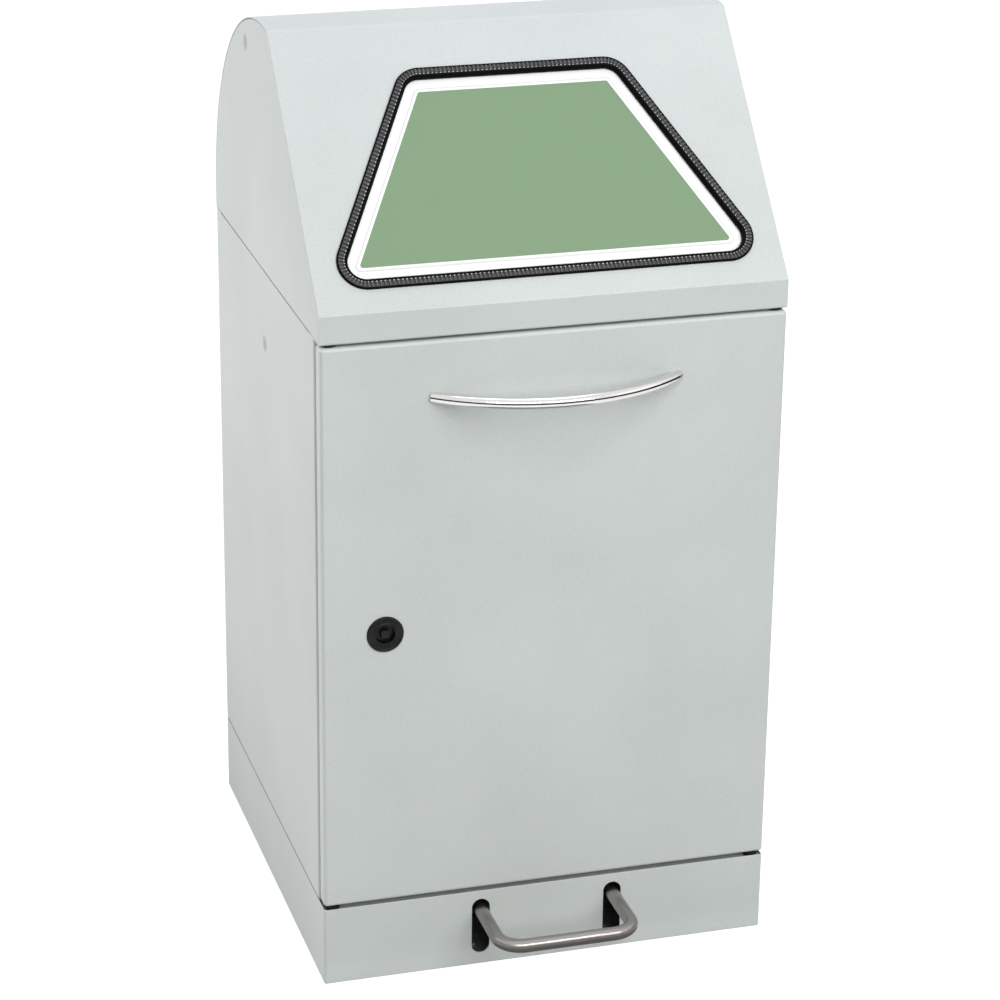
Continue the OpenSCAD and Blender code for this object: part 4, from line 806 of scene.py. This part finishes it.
# The door: a folded pan with a flange round its back and a round hole for the lock. It hangs on two pins on the right.
def fold_door():
    """Rectangles one behind the other, one per point of the section (inset, depth), from the middle of the front over
    the rounded fold to the back flange's inner edge and, set back by the sheet, home again."""
    low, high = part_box("door_panel")
    sheet, bend, back_bend, flange = 1.2 * MM, 2.0 * MM, 3.7 * MM, 12 * MM
    depth = high[1] - low[1]
    outer, left = bent_path([(40 * MM, 0), (0, 0), (0, depth), (flange, depth)], [bend, back_bend], 6)
    section = [*outer, *(outer + sheet * left)[::-1]]
    loops = rectangle_loops(section, 1, low.xz, high.xz, 1.6 * MM, 0.4 * MM, 4) + (0, low[1], 0)
    door = join_loops("door_pan", loops, grey_coat)
    lock_hole = arc_points((-146 * MM, 326 * MM), 10.05 * MM, 90, -261, 40)
    cut_away(door, lock_hole, 1, low[1] - 5 * MM, low[1] + 5 * MM)
    finish_piece(door, "door", ["door_panel"])


fold_door()


# The handle and the pedal: stainless round bar, ground lengthwise. The handle is one arc cut off flat against the
# door; the pedal is bent to a U whose legs run back through the slots.
def make_brushed():
    """Group: fine streaks along one axis as a colour factor, a roughness and a height. The streaks come from noise that
    is stretched by the given scale along each axis."""
    group, given = new_group(
        "brushed", Place="Vector", Colour="Color", Stretch="Vector", Contrast="Float", Smooth="Float", Rough="Float"
    )
    scaled = calculate(group, "MULTIPLY", given["Place"], given["Stretch"], kind="VectorMath")
    streak = add_node(group, "TexNoise", [(scaled, "Vector"), (1.0, "Scale"), (3.0, "Detail")]).outputs["Fac"]
    rough = spread(group, streak, given["Smooth"], given["Rough"])
    shade = swung_colour(group, given["Colour"], streak, 0.5, given["Contrast"])
    return end_group(group, Colour=shade, Roughness=rough, Height=streak)


brushed = make_brushed()


def brushed_metal(name, colour, stretch, contrast, smooth, rough, depth=0.00002, along_bar=False):
    """Metal with fine streaks, laid by the piece's own map along and round the bar, or else by its place."""
    material = new_material(name, Metallic=1.0)
    place = add_node(material.node_tree, "TexCoord").outputs["UV" if along_bar else "Object"]
    put_group(
        material, brushed, depth,
        Place=place, Colour=(*colour, 1), Stretch=stretch, Contrast=contrast, Smooth=smooth, Rough=rough,
    )
    return material


stainless_bar = brushed_metal("stainless_bar", (0.76, 0.75, 0.74), (25.0, 1600.0, 1.0), 0.12, 0.09, 0.15, 0.00001, True)
# The pedal's bar is the handle's stainless steel painted much darker: painted shade, standing in for the darker
# reflections it takes so close to the floor.
pedal_steel_painted_dark = brushed_metal(
    "stainless_bar_painted_dark", (0.36, 0.338, 0.322), (25.0, 1200.0, 1.0), 0.14, 0.25, 0.35, 0.00001, True
)


def map_bar(piece, along, around):
    """The piece's own map: metres along the bar and metres round it, given for each corner point of its grid."""
    mesh = piece.data
    layer = mesh.uv_layers.new(name="bar")
    index = np.empty(len(mesh.loops), np.int32)
    mesh.loops.foreach_get("vertex_index", index)
    pairs = np.stack([np.ravel(along)[index], np.ravel(around)[index]], 1)
    layer.data.foreach_set("uv", pairs.ravel().astype(np.float32))


def bow_handle():
    """A tube on a circular arc, cut off square where its axis meets the door; its inner lines end sooner, at the
    door's front. Each end is a fan round the axis."""
    low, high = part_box("door_handle")
    radius, front, z = 5 * MM, high[1], (low[2] + high[2]) / 2
    half, bow, rows, count = 105.5 * MM, front - low[1] - radius, 81, 48
    arc = (half**2 + bow**2) / (2 * bow)
    centre_y = front - bow + arc
    around = np.linspace(0, 2 * math.pi, count, endpoint=False)
    reach = arc + radius * np.cos(around)
    stop = math.acos((centre_y - front) / arc)
    limit = np.minimum(np.arccos((centre_y - front) / reach), stop)
    along = np.linspace(-1, 1, rows)[:, None] * limit
    height = z + radius * np.sin(around) + 0 * along
    lines = np.stack([reach * np.sin(along), centre_y - reach * np.cos(along), height], -1)
    hubs = [(way * arc * math.sin(stop), front, z) for way in (-1, 1)]
    ring, beside = np.arange(count), np.roll(np.arange(count), -1)
    last, hub = (rows - 1) * count, np.full(count, rows * count)
    faces = grid_quads(rows, count, False, True).tolist()
    faces += np.stack([hub, beside, ring], 1).tolist() + np.stack([last + ring, last + beside, hub + 1], 1).tolist()
    handle = close_piece("bow_handle", np.concatenate([lines.reshape(-1, 3), hubs]), faces, stainless_bar)
    round_it = 2 * radius * np.sin(around / 2) + 0 * along
    map_bar(handle, [*np.ravel(arc * along), -arc * stop, arc * stop], [*np.ravel(round_it), 0.0, 0.0])
    finish_piece(handle, "door", ["door_handle"], 40)


bow_handle()


def tube(name, path, radius, material, around):
    """A round tube along a path (n, 3): at each point a circle in the plane across the path's direction."""
    way = np.gradient(path, axis=0)
    way /= np.linalg.norm(way, axis=1)[:, None]
    flat = np.cross(way, np.array([0.0, 0.0, 1.0]))
    flat /= np.linalg.norm(flat, axis=1)[:, None]
    rise = np.cross(flat, way)
    angles = np.linspace(0, 2 * math.pi, around, endpoint=False)
    ring = radius * (np.cos(angles)[None, :, None] * flat[:, None] + np.sin(angles)[None, :, None] * rise[:, None])
    piece = join_loops(name, path[:, None] + ring, material)
    length = length_along(path)[:, None]
    map_bar(piece, length + 0 * angles, 2 * radius * np.sin(angles / 2) + 0 * length)
    return piece


def bend_pedal():
    """A tube on a U in plan: leg, quarter bend, bar, quarter bend, leg. Long lines are cut into steps of 12 mm."""
    low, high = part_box("pedal_bar")
    radius, bend = 6 * MM, 20 * MM
    x, y, z = high[0] - radius, low[1] + radius, (low[2] + high[2]) / 2
    line, _ = bent_path([(-x, high[1]), (-x, y), (x, y), (x, high[1])], [bend, bend], 14)
    dense = []
    for a, b in zip(line[:-1], line[1:]):
        count = max(1, int(np.linalg.norm(b - a) / (12 * MM)))
        dense.append(a + (b - a) * np.linspace(0, 1, count, endpoint=False)[:, None])
    path = np.insert(np.concatenate([*dense, line[-1:]]), 2, z, axis=1)
    finish_piece(tube("pedal_bow", path, radius, pedal_steel_painted_dark, 36), "pedal", ["pedal_bar"], 40)


bend_pedal()


# The lock: a black plastic housing with a dished cover ring, and a barrel with a raised square in its recess.
# The housing is held from behind by a nut and the barrel turns in it.
black_plastic = mottled(
    "black_lock_plastic", (0.007, 0.0075, 0.008), 1500.0, 20.0, 0.3, 0.00003, (0.3, 0.42), Specular_IOR_Level=0.25
)


def turn_lock_cover():
    """The housing's profile (radius, depth) turned about the lock's axis: body, cover's edge, dished ring and bore."""
    low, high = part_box("lock_housing")
    x, z = (low[0] + high[0]) / 2, (low[2] + high[2]) / 2
    door_front, cover = -200 * MM, (high[0] - low[0]) / 2
    profile = np.array(
        [
            (10, -14), (10, -0.02), (15.45, -0.02), (15.5, 1.6), (15.2, 2.4), (14.6, 2.9), (13.9, 3), (13.3, 2.8),
            (12.6, 2.35), (11.4, 2.2), (10.2, 2.4), (9.6, 2.8), (9.1, 3), (8.5, 2.95), (8.06, 2.5), (8.06, -14),
        ]
    )
    radius, out = profile[:, 0] * cover / profile[:, 0].max(), profile[:, 1] * MM
    angles = np.linspace(0, 2 * math.pi, 64, endpoint=False)[:, None]
    points = np.stack([x + radius * np.cos(angles), door_front - out + 0 * angles, z + radius * np.sin(angles)], -1)
    housing = close_piece("lock_cover", points, grid_quads(64, len(profile), True, True), black_plastic)
    finish_piece(housing, "door", ["lock_housing"], 30)


turn_lock_cover()
ease_edges(["lock_barrel"], 0.35, black_plastic)


# Small black pieces: the door's hinge pins and the bushes they turn in, moulded from plastic.
# The buffers behind the door and under the pedal's legs are of the trim's black rubber.
ease_edges(["hinge_bushes", "door_pins"], 0.3, black_plastic)
ease_edges(["door_buffers", "pedal_buffers"], 0.4, black_rubber)


# Galvanised pieces: brackets, rails, arms, crank, fork and collar are bare zinc-coated steel, with a faint spangle.
# They are cut and folded from sheet or turned, and screwed or riveted in place.
def make_spangle():
    """Group: the crystal pattern of hot-dip zinc, as cells that are a little lighter or darker, with a roughness."""
    group, given = new_group("zinc_spangle", Colour="Color", Cells="Float", Contrast="Float")
    place = add_node(group, "TexCoord").outputs["Object"]
    cell = add_node(group, "TexVoronoi", [(place, "Vector"), (given["Cells"], "Scale"), (1.0, "Randomness")])
    grey = add_node(group, "SeparateColor", [(cell.outputs["Color"], "Color")]).outputs
    fine = add_node(group, "TexNoise", [(place, "Vector"), (700.0, "Scale"), (2.0, "Detail")]).outputs["Fac"]
    shade = swung_colour(group, given["Colour"], grey["Red"], 0.5, given["Contrast"])
    return end_group(group, Colour=shade, Roughness=spread(group, grey["Green"], 0.34, 0.52), Height=fine)


spangle = make_spangle()


def zinc_coated(name, colour, cells, contrast):
    """Zinc-coated steel, with this many crystals to the metre."""
    material = new_material(name, Metallic=0.85)
    put_group(material, spangle, 0.00002, Colour=(*colour, 1), Cells=cells, Contrast=contrast)
    return material


galvanised = zinc_coated("galvanised_steel", (0.56, 0.58, 0.60), 110.0, 0.22)
ease_edges(
    ["stop_plate", "bearing_brackets", "guide_rails", "liner_ears", "lock_nut", "lock_cam", "flap_arms", "crank_arm",
     "rod_fork", "spring_collar", "pedal_hubs", "lifter_arm"],
    0.3, galvanised,
)


# Shafts, rod and pins: drawn bar, ground lengthwise, the streaks running along the upright rod and the level shafts.
# The pedal's shaft and the liner's bail are zinc-plated.
stainless_rod = brushed_metal("stainless_rod", (0.60, 0.59, 0.575), (900.0, 900.0, 50.0), 0.2, 0.22, 0.36)
stainless_shaft = brushed_metal("drawn_shaft", (0.58, 0.575, 0.56), (60.0, 1100.0, 1100.0), 0.2, 0.24, 0.38)
ease_edges(["push_rod"], 0.4, stainless_rod)
ease_edges(["flap_shaft", "crank_pin", "pad_pin"], 0.4, stainless_shaft)
ease_edges(["pedal_shaft", "liner_bail"], 0.4, zinc_coated("zinc_bar", (0.60, 0.61, 0.62), 260.0, 0.12))


# Screws, nuts and rivets: bright zinc on those that hold sheets together.
# The grub screws in hubs and collar and the clips on the flap's shaft are blackened steel.
zinc_screw = zinc_coated("zinc_screw", (0.68, 0.69, 0.70), 600.0, 0.15)
blackened = mottled("blackened_steel", (0.05, 0.05, 0.053), 1200.0, 15.0, 0.3, 0.00003, (0.35, 0.5), Metallic=0.7)
ease_edges(
    ["stop_rivets", "cabinet_screws", "ear_rivets", "handle_screws", "cam_screw", "arm_nuts"],
    0.35, zinc_screw,
)
ease_edges(["hub_screws", "collar_screw", "shaft_clips"], 0.25, blackened)


# Nylon bushes, guides, bearings and pads, in the material's own milky colour.
# They are moulded, and pressed on or into the steel pieces beside them.
nylon = mottled(
    "natural_nylon", (0.74, 0.72, 0.65), 1000.0, 14.0, 0.08, 0.00004, (0.38, 0.5),
    IOR=1.53, Subsurface_Weight=0.15, Subsurface_Radius=(0.003, 0.003, 0.002),
)
ease_edges(["pedal_bushes", "rod_guides", "shaft_bearings", "rod_foot", "lifter_pad"], 0.35, nylon)


# The liner: a galvanised container with round corners and a rolled rim.
# It stands loose on the cabinet's floor and is lifted out by its bail.
def roll_liner():
    """Round-cornered rectangles, one per point (outset, height) of the section: inside floor, bend, wall, rolled rim,
    outer wall and underside."""
    low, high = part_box("liner")
    rim, sheet, bend, clear, inward = 2.5 * MM, 0.8 * MM, 4.8 * MM, 3.0 * MM, -30 * MM
    bottom, top = low[2], high[2]
    middle = (-bend, bottom + bend)
    section = [
        (inward, bottom + sheet), *arc_points(middle, bend - sheet, -90, 0, 6), (-sheet, top - rim - 2 * MM),
        *arc_points((0.5 * MM, top - rim), rim, 215, -90, 22), (0.0, top - 2 * rim - 0.6 * MM),
        *arc_points(middle, bend, 0, -90, 6), (inward, bottom),
    ]
    wall_low, wall_high = (clear - high[0], low[1] + clear), (high[0] - clear, high[1] - clear)
    loops = rectangle_loops([(-out, z) for out, z in section], 2, wall_low, wall_high, 25 * MM, 1 * MM, 10)
    liner = join_loops("liner_can", loops, zinc_coated("liner_zinc", (0.55, 0.57, 0.59), 70.0, 0.3))
    finish_piece(liner, "cabinet", ["liner"], 30)


roll_liner()


# The return spring: drawn wire wound round the push rod, with closed end turns.
# It sits between the collar and the upper guide, and shortens as the rod rises.
def wind_spring():
    """A helix: the angle runs evenly, the height slowly in the first and last turn and evenly between them."""
    low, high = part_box("return_spring")
    wire, turns, steps = 0.8 * MM, 11, 40
    x, y = (low[0] + high[0]) / 2, (low[1] + high[1]) / 2
    radius = (high[0] - low[0]) / 2 - wire
    t = np.linspace(0, turns, turns * steps + 1)
    pace = np.clip(np.minimum(t, turns - t), 0.22, 1.0)
    rise = np.concatenate([[0], np.cumsum((pace[1:] + pace[:-1]) / 2)])
    z = low[2] + wire + (high[2] - low[2] - 2 * wire) * rise / rise[-1]
    path = np.column_stack([x + radius * np.cos(2 * math.pi * t), y + radius * np.sin(2 * math.pi * t), z])
    spring_wire = brushed_metal("spring_wire", (0.5, 0.5, 0.51), (700.0, 700.0, 700.0), 0.2, 0.2, 0.3)
    spring = tube("rod_spring", path, wire, spring_wire, 12)
    finish_piece(spring, "cabinet", ["return_spring"], 40, False)
    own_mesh(spring)


wind_spring()
